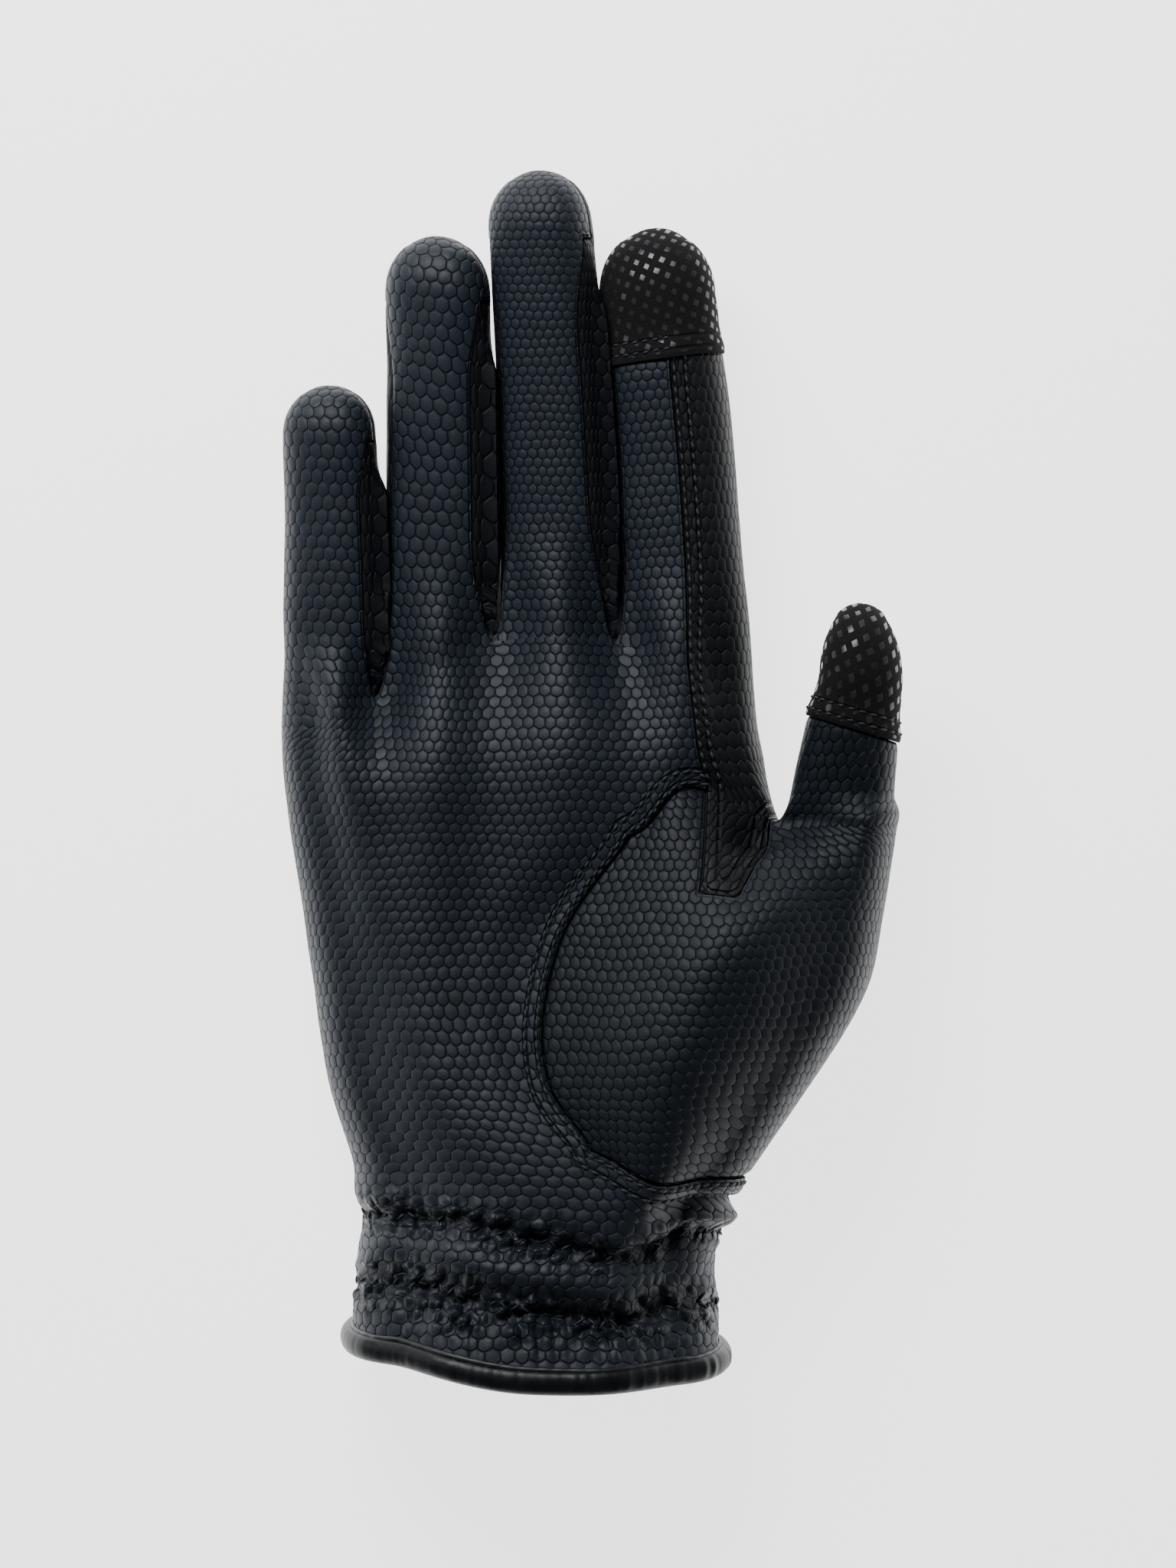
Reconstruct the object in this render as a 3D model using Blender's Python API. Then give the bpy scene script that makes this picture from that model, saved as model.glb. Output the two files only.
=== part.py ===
"""Right-hand riding glove, lying on its back with the palm up.

+Z is up, the fingers point to +Y and the thumb lies on the +X side. The origin is on the flat of the back,
under the palm. One skin runs over the whole hand and its five digits as rings of quads. It is then parted
along its seams into leather panels, and each panel gets its wall towards the inside of the glove.
"""

import math
from collections import namedtuple

import bmesh
import bpy
from mathutils import Vector

# Driving sizes, in metres.
GLOVE_LENGTH = 0.220
HAND_WIDTH = 0.100
HAND_DEPTH = 0.036
WALL = 0.0012
SEAM_GAP = 0.0003
WEB_ARCH = 0.0085
WEB_PULL = 0.0035
PUCKER = 0.0006
FINGER_GAP = 0.0020
FOLD_LEAN = 0.0015
PATCH_LEAN = 0.70
PAD_RAISE = 0.0004
PATCH_RAISE = 0.0002
BINDING_HEIGHT = 0.0045
BINDING_THICKNESS = 0.0030

# The glove's middle finger tip and hem lie this share of its length from the origin.
ORIGIN_SHARE = 0.34

# How finely the skin is divided: quads across a digit's face, quads down its side.
ACROSS = 5
DOWN = 4
DIGITS = 5
FINGERS = 4
SECTION_POWER = 2.5

# One row for each section of the hand, from the hem up. x is the share of HAND_WIDTH of the left outline,
# of the four lines between the digits and of the right outline. y is the share of GLOVE_LENGTH at the
# same six places. z is the share of HAND_DEPTH of the palm's surface there. shoulder is the width of its
# rounded sides, a share of HAND_WIDTH. swell is how far each digit's face rises between its lines, and
# rise is how far the back lifts off the ground, both shares of HAND_DEPTH. pucker is a share of PUCKER.
# back_y is y on the back, where it differs from the palm's.
Section = namedtuple("Section", "name x y z shoulder swell rise pucker back_y", defaults=(None,))
SECTIONS = [
    Section("hem", (-0.280, -0.095, 0.002, 0.100, 0.198, 0.390),
            (0.0450, 0.0325, 0.0240, 0.0218, 0.0228, 0.0285),
            (0.78, 0.95, 1.00, 1.00, 0.97, 0.80), 0.090, 0.00, 0.00, 0.0,
            (0.0690, 0.0520, 0.0400, 0.0360, 0.0380, 0.0540)),
    Section("lower gather", (-0.272, -0.090, 0.005, 0.100, 0.195, 0.386),
            (0.0975, 0.0895, 0.0780, 0.0690, 0.0627, 0.0780),
            (0.70, 0.86, 0.92, 0.92, 0.88, 0.72), 0.085, 0.00, 0.05, 1.0),
    Section("between gathers", (-0.272, -0.091, 0.006, 0.103, 0.200, 0.382),
            (0.1230, 0.1155, 0.1045, 0.0968, 0.0900, 0.1060),
            (0.76, 0.93, 0.99, 0.99, 0.95, 0.78), 0.088, 0.00, 0.00, 0.3),
    Section("upper gather", (-0.262, -0.078, 0.019, 0.114, 0.208, 0.390),
            (0.1500, 0.1445, 0.1345, 0.1245, 0.1168, 0.1360),
            (0.70, 0.86, 0.92, 0.93, 0.90, 0.73), 0.085, 0.00, 0.05, 1.0),
    Section("heel", (-0.277, -0.088, 0.020, 0.130, 0.230, 0.404),
            (0.1865, 0.1795, 0.1680, 0.1568, 0.1436, 0.1600),
            (0.71, 0.88, 0.96, 0.98, 0.97, 0.76), 0.085, 0.00, 0.00, 0.3),
    Section("seam foot", (-0.305, -0.112, 0.000, 0.155, 0.265, 0.437),
            (0.2275, 0.2218, 0.2136, 0.2027, 0.1765, 0.1790),
            (0.68, 0.86, 0.92, 0.95, 1.02, 0.80), 0.080, 0.00, 0.00, 0.0),
    Section("low mound", (-0.328, -0.143, -0.030, 0.080, 0.290, 0.555),
            (0.2705, 0.2682, 0.2614, 0.2523, 0.2386, 0.2570),
            (0.65, 0.82, 0.85, 0.86, 1.08, 0.83), 0.078, 0.00, 0.00, 0.0),
    Section("mound", (-0.348, -0.163, -0.050, 0.066, 0.340, 0.650),
            (0.3295, 0.3273, 0.3227, 0.3136, 0.3114, 0.3290),
            (0.62, 0.77, 0.77, 0.78, 1.08, 0.84), 0.074, 0.00, 0.00, 0.0),
    Section("high mound", (-0.370, -0.187, -0.050, 0.110, 0.400, 0.686),
            (0.3955, 0.3932, 0.3909, 0.3886, 0.3932, 0.4000),
            (0.58, 0.72, 0.71, 0.71, 0.98, 0.81), 0.068, 0.01, 0.00, 0.0),
    Section("web", (-0.390, -0.202, -0.030, 0.226, 0.490, 0.708),
            (0.4590, 0.4568, 0.4545, 0.4586, 0.4690, 0.4680),
            (0.55, 0.69, 0.69, 0.70, 0.55, 0.75), 0.060, 0.03, 0.04, 0.0),
    Section("palm top", (-0.402, -0.216, -0.020, 0.228, 0.470),
            (0.5045, 0.5114, 0.5273, 0.5318, 0.5227),
            (0.53, 0.66, 0.66, 0.67, 0.56), 0.055, 0.06, 0.02, 0.0),
    Section("finger roots", (-0.407, -0.222, -0.011, 0.208, 0.449),
            (0.5455, 0.5700, 0.6195, 0.6164, 0.5864),
            (0.51, 0.42, 0.43, 0.44, 0.50), 0.050, 0.16, 0.10, 0.0),
]
SEAM_FOOT = 5
HIGH_MOUND = 8
WEB = 9

# The rings of the hand, counted in sections from the hem.
LOWER_RINGS = (0, 0.5, 1, 1.5, 2, 2.5, 3, 3.5, 4, 5, 5.5, 6, 6.5, 7, 7.6, 8.2, 8.6, 9)
UPPER_RINGS = (9, 9.5, 10, 10.5, 11)

# One row for each digit, from the little finger to the thumb. tip is the tip's x and y and lift its
# middle's height, as shares of HAND_WIDTH, GLOVE_LENGTH and HAND_DEPTH. root, end and dome are its half
# width in the middle and near the tip and the length of its rounded end, shares of HAND_WIDTH. deep is
# its half depth, a share of HAND_DEPTH. roll is its turn about its length in degrees. slant is how far
# its rings rise across its half width near the tip, a share of that half width. pad is the share of its
# length where a touch pad starts, or None.
Digit = namedtuple("Digit", "name tip_x tip_y lift root end dome deep roll slant pad")
DIGIT_ROWS = [
    Digit("little", -0.316, 0.8280, 0.36, 0.095, 0.083, 0.085, 0.190, 14, 0.00, None),
    Digit("ring", -0.122, 0.9490, 0.38, 0.099, 0.094, 0.095, 0.205, 14, 0.00, None),
    Digit("middle", 0.063, 1.0030, 0.43, 0.106, 0.093, 0.100, 0.215, 16, 0.00, None),
    Digit("index", 0.277, 0.9560, 0.36, 0.112, 0.103, 0.120, 0.215, 13, 0.14, 0.78),
    Digit("thumb", 0.635, 0.6490, 0.58, 0.090, 0.078, 0.135, 0.235, 0, -0.28, 0.65),
]
LITTLE, RING, MIDDLE, INDEX, THUMB = range(DIGITS)

# The rings of a digit as shares of its straight length, then the turns of the rounded end's rings.
DIGIT_RINGS = (0.09, 0.20, 0.34, 0.50, 0.65, 0.78, 0.90, 1.0)
DOME_TURNS = (math.radians(28), math.radians(50))
MORPH_SHARE = 0.30
BEND_POWER = 1.6
SEAM_TURN = math.radians(48)
SEAM_TURN_AT_TIP = math.radians(22)
FOURCHETTE_END = 7

# The patch's front edge is this many quads in from the index finger's inner seam, and its tail ends this
# many rings below the web.
PATCH_COLUMN = 3
PATCH_TAIL_RINGS = 2


def spline(knots, place):
    """Reads a smooth curve through evenly spaced knots at a place counted in knots."""
    last = len(knots) - 1
    start = min(int(place), last - 1)
    share = place - start
    before = knots[start - 1] if start > 0 else 2 * knots[0] - knots[1]
    after = knots[start + 2] if start + 2 <= last else 2 * knots[last] - knots[last - 1]
    first, second = knots[start], knots[start + 1]
    bend = 2 * before - 5 * first + 4 * second - after
    twist = 3 * (first - second) + after - before
    return first + 0.5 * share * (second - before + share * (bend + share * twist))


def ease(share):
    """Turns 0 to 1 into a smooth step."""
    share = max(0.0, min(1.0, share))
    return share * share * (3 - 2 * share)


def middle_of(points):
    """The middle of the box that holds some points."""
    return Vector([(min(p[axis] for p in points) + max(p[axis] for p in points)) / 2 for axis in range(3)])


def power(base, exponent):
    """Raises a number to a power and keeps its sign."""
    return math.copysign(abs(base) ** exponent, base)


def section_point(index, across, on_palm):
    """The point of one section of the table, across counted in digits from the left edge."""
    section = SECTIONS[index]
    inside = across - INDEX
    if index == HIGH_MOUND and 0 < inside < 1:
        across += PATCH_LEAN * inside * (1 - inside)
    lines = [share * HAND_WIDTH for share in section.x]
    lines[0] += section.shoulder * HAND_WIDTH
    lines[-1] -= section.shoulder * HAND_WIDTH
    x = spline(lines, across)
    y = spline(section.y if on_palm else section.back_y or section.y, across) * GLOVE_LENGTH
    bulge = math.sin(math.pi * (across % 1.0)) ** 2
    if index == WEB and INDEX < across < THUMB:
        y += WEB_ARCH * bulge
        x -= WEB_PULL * bulge
    if on_palm:
        z = (spline(section.z, across) + section.swell * bulge) * HAND_DEPTH
    else:
        z = section.rise * (1 - bulge) * HAND_DEPTH
    return Vector((x, y, z))


def hand_point(ring, across, on_palm):
    """The point of the hand's skin at a ring counted in sections."""
    low = min(int(ring), len(SECTIONS) - 2)
    if ring == low:
        return section_point(low, across, on_palm)
    first = max(low - 1, 0)
    last = min(low + 2, len(SECTIONS) - 1)
    if ring < WEB:
        last = min(last, WEB)
    else:
        first = max(first, WEB)
    points = [section_point(index, across, on_palm) for index in range(first, last + 1)]
    return Vector([spline([point[axis] for point in points], ring - first) for axis in range(3)])


def side_points(front, back, outward):
    """The points between a palm edge and a back edge, on a half ellipse that bulges outward."""
    middle = (front + back) / 2
    half = (front - back) / 2
    turns = [math.pi * step / DOWN for step in range(1, DOWN)]
    return [middle + half * math.cos(turn) + outward * math.sin(turn) for turn in turns]


def section_value(name, ring):
    """Reads a column of the table of sections at a ring."""
    low = min(int(ring), len(SECTIONS) - 2)
    share = ring - low
    return getattr(SECTIONS[low], name) * (1 - share) + getattr(SECTIONS[low + 1], name) * share


def hand_ring(ring, digits):
    """One closed ring round the hand: palm left to right, right side, back right to left, left side."""
    columns = digits * ACROSS
    palm = [hand_point(ring, column / ACROSS, True) for column in range(columns + 1)]
    back = [hand_point(ring, column / ACROSS, False) for column in range(columns, -1, -1)]
    left = Vector((-section_value("shoulder", ring) * HAND_WIDTH, 0, 0))
    right = -left * min(1.0, abs(ring - WEB) if digits == FINGERS else 1.0)
    points = palm + side_points(palm[-1], back[0], right)
    points += back + side_points(palm[0], back[-1], left)[::-1]
    height = PUCKER * section_value("pucker", ring)
    middle = sum(points, Vector()) / len(points)
    for number, point in enumerate(points):
        direction = Vector((point.x - middle.x, 0, point.z - middle.z)).normalized()
        point += direction * height * (-1) ** number
        point.z = max(point.z, 0.0)
    return points


class Skin:
    """The glove's outer skin: points, and quads that each know the panel they belong to."""

    def __init__(self):
        self.points = []
        self.faces = []
        self.normals = []
        self.folds = []
        self.corners = {}

    def add(self, points):
        """Adds points and returns their numbers."""
        start = len(self.points)
        self.points.extend(points)
        return list(range(start, len(self.points)))

    def bridge(self, low, high, panel_of):
        """Joins two closed rings of point numbers with quads. panel_of gives a quad's panel from its place."""
        count = len(low)
        for place in range(count):
            after = (place + 1) % count
            self.faces.append(((low[place], low[after], high[after], high[place]), panel_of(place)))

    def find_normals(self, flat_edge):
        """Works out the smooth normals, and sets them by rule at the flat edge, the folds and the folds' ends."""
        self.normals = [Vector() for _ in self.points]
        for corners, _ in self.faces:
            a, b, c, d = [self.points[corner] for corner in corners]
            area = (c - a).cross(d - b)
            for corner in corners:
                self.normals[corner] += area
        for number, normal in enumerate(self.normals):
            if number in flat_edge:
                normal.y = 0
            normal.normalize()
        for number in self.folds:
            self.normals[number] = Vector((0, 1, 0))
        for number, side in self.corners.items():
            self.normals[number] = Vector((0, 1, side)).normalized()

    def fold(self, front, back):
        """Adds the points down the fold between two digits, leant as the digits are rolled."""
        self.points[front].x -= FOLD_LEAN
        self.points[back].x += FOLD_LEAN
        steps = [step / DOWN for step in range(1, DOWN)]
        numbers = self.add([self.points[front].lerp(self.points[back], share) for share in steps])
        self.folds += numbers
        return numbers


def palm_or_back(place, columns):
    """The panel of a quad that is on no digit's side: the two meet halfway down the rounded sides."""
    on_palm = place < columns + DOWN // 2 or place >= 2 * columns + DOWN + DOWN // 2
    return "palm_panel" if on_palm else "back_panel"


def lower_panel(ring_number, place):
    """The panel of a quad of the hand below the web."""
    ring = (LOWER_RINGS[ring_number] + LOWER_RINGS[ring_number + 1]) / 2
    tail = ring_number >= len(LOWER_RINGS) - 1 - PATCH_TAIL_RINGS
    if ring < SEAM_FOOT:
        return palm_or_back(place, DIGITS * ACROSS)
    if tail and INDEX * ACROSS + PATCH_COLUMN <= place < THUMB * ACROSS:
        return "index_side_patch"
    if INDEX * ACROSS <= place < DIGITS * ACROSS + DOWN:
        return "thumb_panel"
    return palm_or_back(place, DIGITS * ACROSS)


def upper_panel(place):
    """The panel of a quad of the hand between the web and the finger roots."""
    if INDEX * ACROSS + PATCH_COLUMN <= place < FINGERS * ACROSS + DOWN:
        return "index_side_patch"
    return palm_or_back(place, FINGERS * ACROSS)


def digit_panel(number, ring_number, place):
    """The panel of a quad of a digit. The rings count from its root."""
    right_side = ACROSS <= place < ACROSS + DOWN
    left_side = place >= 2 * ACROSS + DOWN
    below_end = ring_number < FOURCHETTE_END
    digit = DIGIT_ROWS[number]
    if digit.pad is not None and ring_number >= pad_ring(digit):
        return digit.name + "_tip_pad"
    if number == THUMB:
        return "thumb_panel"
    if left_side and number > LITTLE and below_end:
        return fourchette_name(number - 1)
    if right_side and number < INDEX and below_end:
        return fourchette_name(number)
    if number == INDEX and (right_side or PATCH_COLUMN <= place < ACROSS):
        return "index_side_patch"
    return palm_or_back(place, ACROSS)


def fourchette_name(number):
    """The name of the strip between a finger and the next one towards the thumb."""
    return "fourchette_" + DIGIT_ROWS[number].name + "_" + DIGIT_ROWS[number + 1].name


def pad_ring(digit):
    """The ring where a digit's touch pad starts."""
    distances = [abs(share - digit.pad) for share in DIGIT_RINGS]
    return distances.index(min(distances)) + 1


def digit_ring(digit, root, straight, scale, along):
    """The points of a digit's ring from its size there. straight is the share of its straight length."""
    bent = straight ** BEND_POWER
    middle_x = root.x + (digit.tip_x * HAND_WIDTH - root.x) * bent
    middle_z = root.z + (digit.lift * HAND_DEPTH - root.z) * bent
    half_width = (digit.root + (digit.end - digit.root) * straight) * HAND_WIDTH
    half_depth = digit.deep * HAND_DEPTH
    narrow = ease((straight - 0.75) / 0.25)
    seam_turn = SEAM_TURN + (SEAM_TURN_AT_TIP - SEAM_TURN) * narrow
    face = [math.pi - seam_turn - (math.pi - 2 * seam_turn) * step / ACROSS for step in range(ACROSS + 1)]
    side = [seam_turn - 2 * seam_turn * step / DOWN for step in range(1, DOWN)]
    turns = face + side + [-turn for turn in face[::-1]] + [math.pi - turn for turn in side[::-1]]
    roll = math.radians(digit.roll)
    points = []
    for turn in turns:
        flat = power(math.cos(turn), 2 / SECTION_POWER) * half_width * scale
        deep = power(math.sin(turn), 2 / SECTION_POWER) * half_depth * scale
        x = flat * math.cos(roll) - deep * math.sin(roll)
        z = flat * math.sin(roll) + deep * math.cos(roll)
        rise = digit.slant * flat * math.sin(math.pi * straight)
        points.append(Vector((middle_x + x, along + rise, max(middle_z + z, 0.0))))
    return points


def add_digit(skin, number, root_ring):
    """Grows a digit from the ring of its root to its rounded tip."""
    digit = DIGIT_ROWS[number]
    root_points = [skin.points[corner] for corner in root_ring]
    root = middle_of(root_points)
    dome = digit.dome * HAND_WIDTH
    length = digit.tip_y * GLOVE_LENGTH - dome - root.y
    ring = root_ring
    ring_number = 0
    for share in DIGIT_RINGS:
        along = root.y + length * share
        points = digit_ring(digit, root, share, 1.0, along)
        centre = middle_of(points)
        morph = ease(share / MORPH_SHARE)
        points = [root_shape(number, start - root, centre).lerp(point, morph)
                  for start, point in zip(root_points, points)]
        for point in points:
            point.z = max(point.z, 0.0)
        ring = grow(skin, number, ring_number, ring, points)
        ring_number += 1
    for turn in DOME_TURNS:
        points = digit_ring(digit, root, 1.0, math.cos(turn), root.y + length + dome * math.sin(turn))
        ring = grow(skin, number, ring_number, ring, points)
        ring_number += 1
    close_tip(skin, number, ring, root.y + length, dome)


def root_shape(number, offset, centre):
    """A point of the root's outline carried up to a ring, clear of the next digit."""
    beside = number > LITTLE if offset.x < 0 else number < INDEX
    half_width = DIGIT_ROWS[number].root * HAND_WIDTH
    if beside:
        offset = offset - Vector((FINGER_GAP / 2 * offset.x / half_width, 0, 0))
    return centre + offset


def grow(skin, number, ring_number, ring, points):
    """Adds a digit's next ring and bridges to it."""
    higher = skin.add(points)
    skin.bridge(ring, higher, lambda place: digit_panel(number, ring_number, place))
    return higher


def close_tip(skin, number, ring, dome_start, dome):
    """Closes a digit's end with a grid of quads that carries the face over to the back."""
    digit = DIGIT_ROWS[number]
    face = ring[:ACROSS + 1]
    right = ring[ACROSS + 1:ACROSS + DOWN]
    back = ring[ACROSS + DOWN:2 * ACROSS + DOWN + 1][::-1]
    left = ring[2 * ACROSS + DOWN + 1:][::-1]
    rim = [skin.points[corner] for corner in ring]
    middle = sum(rim, Vector()) / len(rim)
    reach = sum((point - middle).length for point in rim) / len(rim)
    end_turn = DOME_TURNS[-1]
    rows = [face]
    for step in range(1, DOWN):
        down = step / DOWN
        row = [left[step - 1]]
        for column in range(1, ACROSS):
            over = column / ACROSS
            across_way = skin.points[left[step - 1]].lerp(skin.points[right[step - 1]], over)
            down_way = skin.points[face[column]].lerp(skin.points[back[column]], down)
            point = (across_way + down_way) / 2
            flat = Vector((point.x - middle.x, 0, point.z - middle.z)).length / reach
            turn = math.acos(min(1.0, flat * math.cos(end_turn)))
            point.y = dome_start + dome * math.sin(max(turn, end_turn))
            row += skin.add([point])
        row.append(right[step - 1])
        rows.append(row)
    rows.append(back)
    ring_number = len(DIGIT_RINGS) + len(DOME_TURNS)
    for step, (low, high) in enumerate(zip(rows, rows[1:])):
        panel = digit_panel(number, ring_number, 0 if step < DOWN // 2 else ACROSS + DOWN)
        for column in range(ACROSS):
            corners = (low[column], low[column + 1], high[column + 1], high[column])
            skin.faces.append((corners, panel))


def build_skin():
    """Builds the whole skin: the hand up to the web, the hand up to the finger roots, then the digits."""
    skin = Skin()
    columns = DIGITS * ACROSS
    low = skin.add(hand_ring(LOWER_RINGS[0], DIGITS))
    hem = low
    for number, ring in enumerate(LOWER_RINGS[1:]):
        high = skin.add(hand_ring(ring, DIGITS))
        skin.bridge(low, high, lambda place: lower_panel(number, place))
        low = high
    palm = low[:columns + 1]
    outer = low[columns + 1:columns + DOWN]
    back = low[columns + DOWN:2 * columns + DOWN + 1][::-1]
    inner = low[2 * columns + DOWN + 1:]
    split = THUMB * ACROSS
    web = skin.fold(palm[split], back[split])
    thumb_root = palm[split:] + outer + back[split:][::-1] + web[::-1]
    low = palm[:split + 1] + web + back[:split + 1][::-1] + inner
    for ring in UPPER_RINGS[1:]:
        high = skin.add(hand_ring(ring, FINGERS))
        skin.bridge(low, high, upper_panel)
        low = high
    columns = FINGERS * ACROSS
    palm = low[:columns + 1]
    outer = low[columns + 1:columns + DOWN]
    back = low[columns + DOWN:2 * columns + DOWN + 1][::-1]
    side = low[2 * columns + DOWN + 1:]
    for finger in range(FINGERS):
        start, end = finger * ACROSS, (finger + 1) * ACROSS
        if finger < INDEX:
            right = skin.fold(palm[end], back[end])
            skin.corners.update({palm[end]: 1, back[end]: -1})
        else:
            right = outer
        root = palm[start:end + 1] + right + back[start:end + 1][::-1] + side
        add_digit(skin, finger, root)
        side = right[::-1]
    add_digit(skin, THUMB, thumb_root)
    skin.find_normals(set(hem))
    return skin, hem


def edge_steps(faces):
    """Each edge of the faces that only one of them has, as a map from its first point to its second."""
    steps = {}
    for corners in faces:
        for place, corner in enumerate(corners):
            steps.setdefault((corner, corners[(place + 1) % len(corners)]), True)
    return {first: second for first, second in steps if (second, first) not in steps}


def pulled_in(skin, steps, keep, in_fold):
    """Moves a panel's edge points half a seam gap towards its inside, and returns their new places."""
    before = {second: first for first, second in steps.items()}
    moved = {}
    for point, after in steps.items():
        if point in keep:
            continue
        normal = skin.normals[point]
        here = skin.points[point]
        if point in skin.corners:
            inward = Vector((0, 1, -skin.corners[point])).normalized() * (1 if in_fold else -1)
            moved[point] = here + inward * (SEAM_GAP / 2)
            continue
        ahead = (skin.points[after] - here).normalized()
        behind = (here - skin.points[before[point]]).normalized()
        inward = (normal.cross(ahead).normalized() + normal.cross(behind).normalized()).normalized()
        stretch = max(0.5, inward.dot(normal.cross(ahead).normalized()))
        moved[point] = here + inward * (SEAM_GAP / 2 / stretch)
    return moved


def on_ground(point):
    """Keeps a point from lying below the ground."""
    return Vector((point.x, point.y, max(point.z, 0.0)))


def make_panel(name, skin, raised, keep, collection, material):
    """Makes one panel: its outer face, its inner face one wall below, and the wall's edges."""
    faces = [corners for corners, panel in skin.faces if panel == name]
    steps = edge_steps(faces)
    moved = pulled_in(skin, steps, keep, name.startswith("fourchette"))
    used = sorted({corner for corners in faces for corner in corners})
    mesh = bmesh.new()
    outer, inner = {}, {}
    for point in used:
        place = moved.get(point, skin.points[point])
        outer[point] = mesh.verts.new(on_ground(place + skin.normals[point] * raised))
        inner[point] = mesh.verts.new(on_ground(place - skin.normals[point] * WALL))
    for corners in faces:
        mesh.faces.new([outer[corner] for corner in corners])
        mesh.faces.new([inner[corner] for corner in reversed(corners)])
    for point, after in steps.items():
        mesh.faces.new([outer[after], outer[point], inner[point], inner[after]])
    bmesh.ops.triangulate(mesh, faces=mesh.faces)
    return finish(name, mesh, collection, material)


def make_binding(skin, hem, collection, material):
    """Makes the binding: a rounded band below the leather's edge, all round the hem."""
    half = BINDING_THICKNESS / 2
    bevel = half / 2
    top = SEAM_GAP
    foot = top + BINDING_HEIGHT
    outline = [(half, top + bevel), (half, foot - bevel), (half - bevel, foot), (bevel - half, foot),
               (-half, foot - bevel), (-half, top + bevel), (bevel - half, top), (half - bevel, top)]
    mesh = bmesh.new()
    loops = []
    for corner in hem:
        normal = skin.normals[corner]
        wall = skin.points[corner] - normal * (WALL / 2)
        wall.z = max(wall.z, half)
        loops.append([mesh.verts.new(wall + normal * out - Vector((0, down, 0))) for out, down in outline])
    for here, after in zip(loops, loops[1:] + loops[:1]):
        for step in range(len(outline)):
            near = (step + 1) % len(outline)
            mesh.faces.new([here[step], here[near], after[near], after[step]])
    bmesh.ops.triangulate(mesh, faces=mesh.faces)
    return finish("cuff_binding", mesh, collection, material)


def finish(name, mesh, collection, material):
    """Turns a mesh into a shaded object of the glove."""
    data = bpy.data.meshes.new(name)
    bmesh.ops.recalc_face_normals(mesh, faces=mesh.faces)
    mesh.to_mesh(data)
    mesh.free()
    data.shade_smooth()
    data.set_sharp_from_angle(angle=math.radians(40))
    data.materials.append(material)
    glove_object = bpy.data.objects.new(name, data)
    collection.objects.link(glove_object)
    return glove_object


def make_material(name, colour, roughness):
    """Makes a plain material."""
    material = bpy.data.materials.new(name)
    material.use_nodes = True
    shader = material.node_tree.nodes["Principled BSDF"]
    shader.inputs["Base Color"].default_value = (*colour, 1.0)
    shader.inputs["Roughness"].default_value = roughness
    shader.inputs["Metallic"].default_value = 0.0
    return material


def clear_scene():
    """Removes the scene's objects."""
    for old in list(bpy.data.objects):
        bpy.data.objects.remove(old, do_unlink=True)


def build_glove():
    """Builds the glove under one empty, which puts the origin under the palm."""
    clear_scene()
    collection = bpy.data.collections.new("riding_glove")
    bpy.context.scene.collection.children.link(collection)
    middle = bpy.data.objects.new("glove_place", None)
    middle.location = (0, -ORIGIN_SHARE * GLOVE_LENGTH, 0)
    collection.objects.link(middle)
    skin, hem = build_skin()
    leather = (0.020, 0.023, 0.030)
    panels = [("palm_panel", 0.0, leather, 0.55), ("back_panel", 0.0, leather, 0.55),
              ("thumb_panel", 0.0, (0.019, 0.022, 0.029), 0.55),
              ("index_side_patch", PATCH_RAISE, (0.014, 0.016, 0.021), 0.6),
              ("index_tip_pad", PAD_RAISE, (0.012, 0.012, 0.014), 0.85),
              ("thumb_tip_pad", PAD_RAISE, (0.012, 0.012, 0.014), 0.85)]
    panels += [(fourchette_name(number), 0.0, (0.016, 0.018, 0.024), 0.6) for number in (LITTLE, RING, MIDDLE)]
    for name, raised, colour, roughness in panels:
        panel = make_panel(name, skin, raised, set(hem), collection, make_material(name, colour, roughness))
        panel.parent = middle
    binding = make_binding(skin, hem, collection, make_material("cuff_binding", (0.015, 0.016, 0.018), 0.45))
    binding.parent = middle


build_glove()
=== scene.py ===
"""Looks of a right-hand riding glove of scaled black leather, lying on its back with the palm up.

The glove's skin is drawn as rings of quads, smoothed once, and given its gathers, folds and seam edges. Then it is
parted along the seams into leather panels with a wall and a lining, and sewn with rows of stitches.
"""

import math
from collections import namedtuple

import bmesh
import bpy
from mathutils import Matrix, Vector, kdtree, noise
from mathutils.bvhtree import BVHTree


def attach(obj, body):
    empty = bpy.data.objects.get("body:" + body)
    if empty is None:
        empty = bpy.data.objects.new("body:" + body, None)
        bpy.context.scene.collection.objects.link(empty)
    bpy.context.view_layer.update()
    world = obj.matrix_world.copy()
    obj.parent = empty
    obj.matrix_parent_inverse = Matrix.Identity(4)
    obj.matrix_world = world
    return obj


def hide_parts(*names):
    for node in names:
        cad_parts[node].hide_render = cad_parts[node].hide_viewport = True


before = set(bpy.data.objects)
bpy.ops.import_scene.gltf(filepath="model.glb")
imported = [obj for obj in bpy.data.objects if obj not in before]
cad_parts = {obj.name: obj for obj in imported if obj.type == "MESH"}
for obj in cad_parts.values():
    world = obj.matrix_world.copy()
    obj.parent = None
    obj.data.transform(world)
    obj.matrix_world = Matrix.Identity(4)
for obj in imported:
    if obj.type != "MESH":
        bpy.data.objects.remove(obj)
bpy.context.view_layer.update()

# Driving sizes, in metres.
MM = 0.001
GLOVE_LENGTH = 0.220
HAND_WIDTH = 0.100
HAND_DEPTH = 0.036
ORIGIN_SHARE = 0.34
WALL = 1.2 * MM
SEAM_GAP = 0.06 * MM
WEB_ARCH = 8.5 * MM
WEB_PULL = 3.5 * MM
FINGER_GAP = 2.0 * MM
FOLD_LEAN = 1.5 * MM
PATCH_LEAN = 0.70
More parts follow.
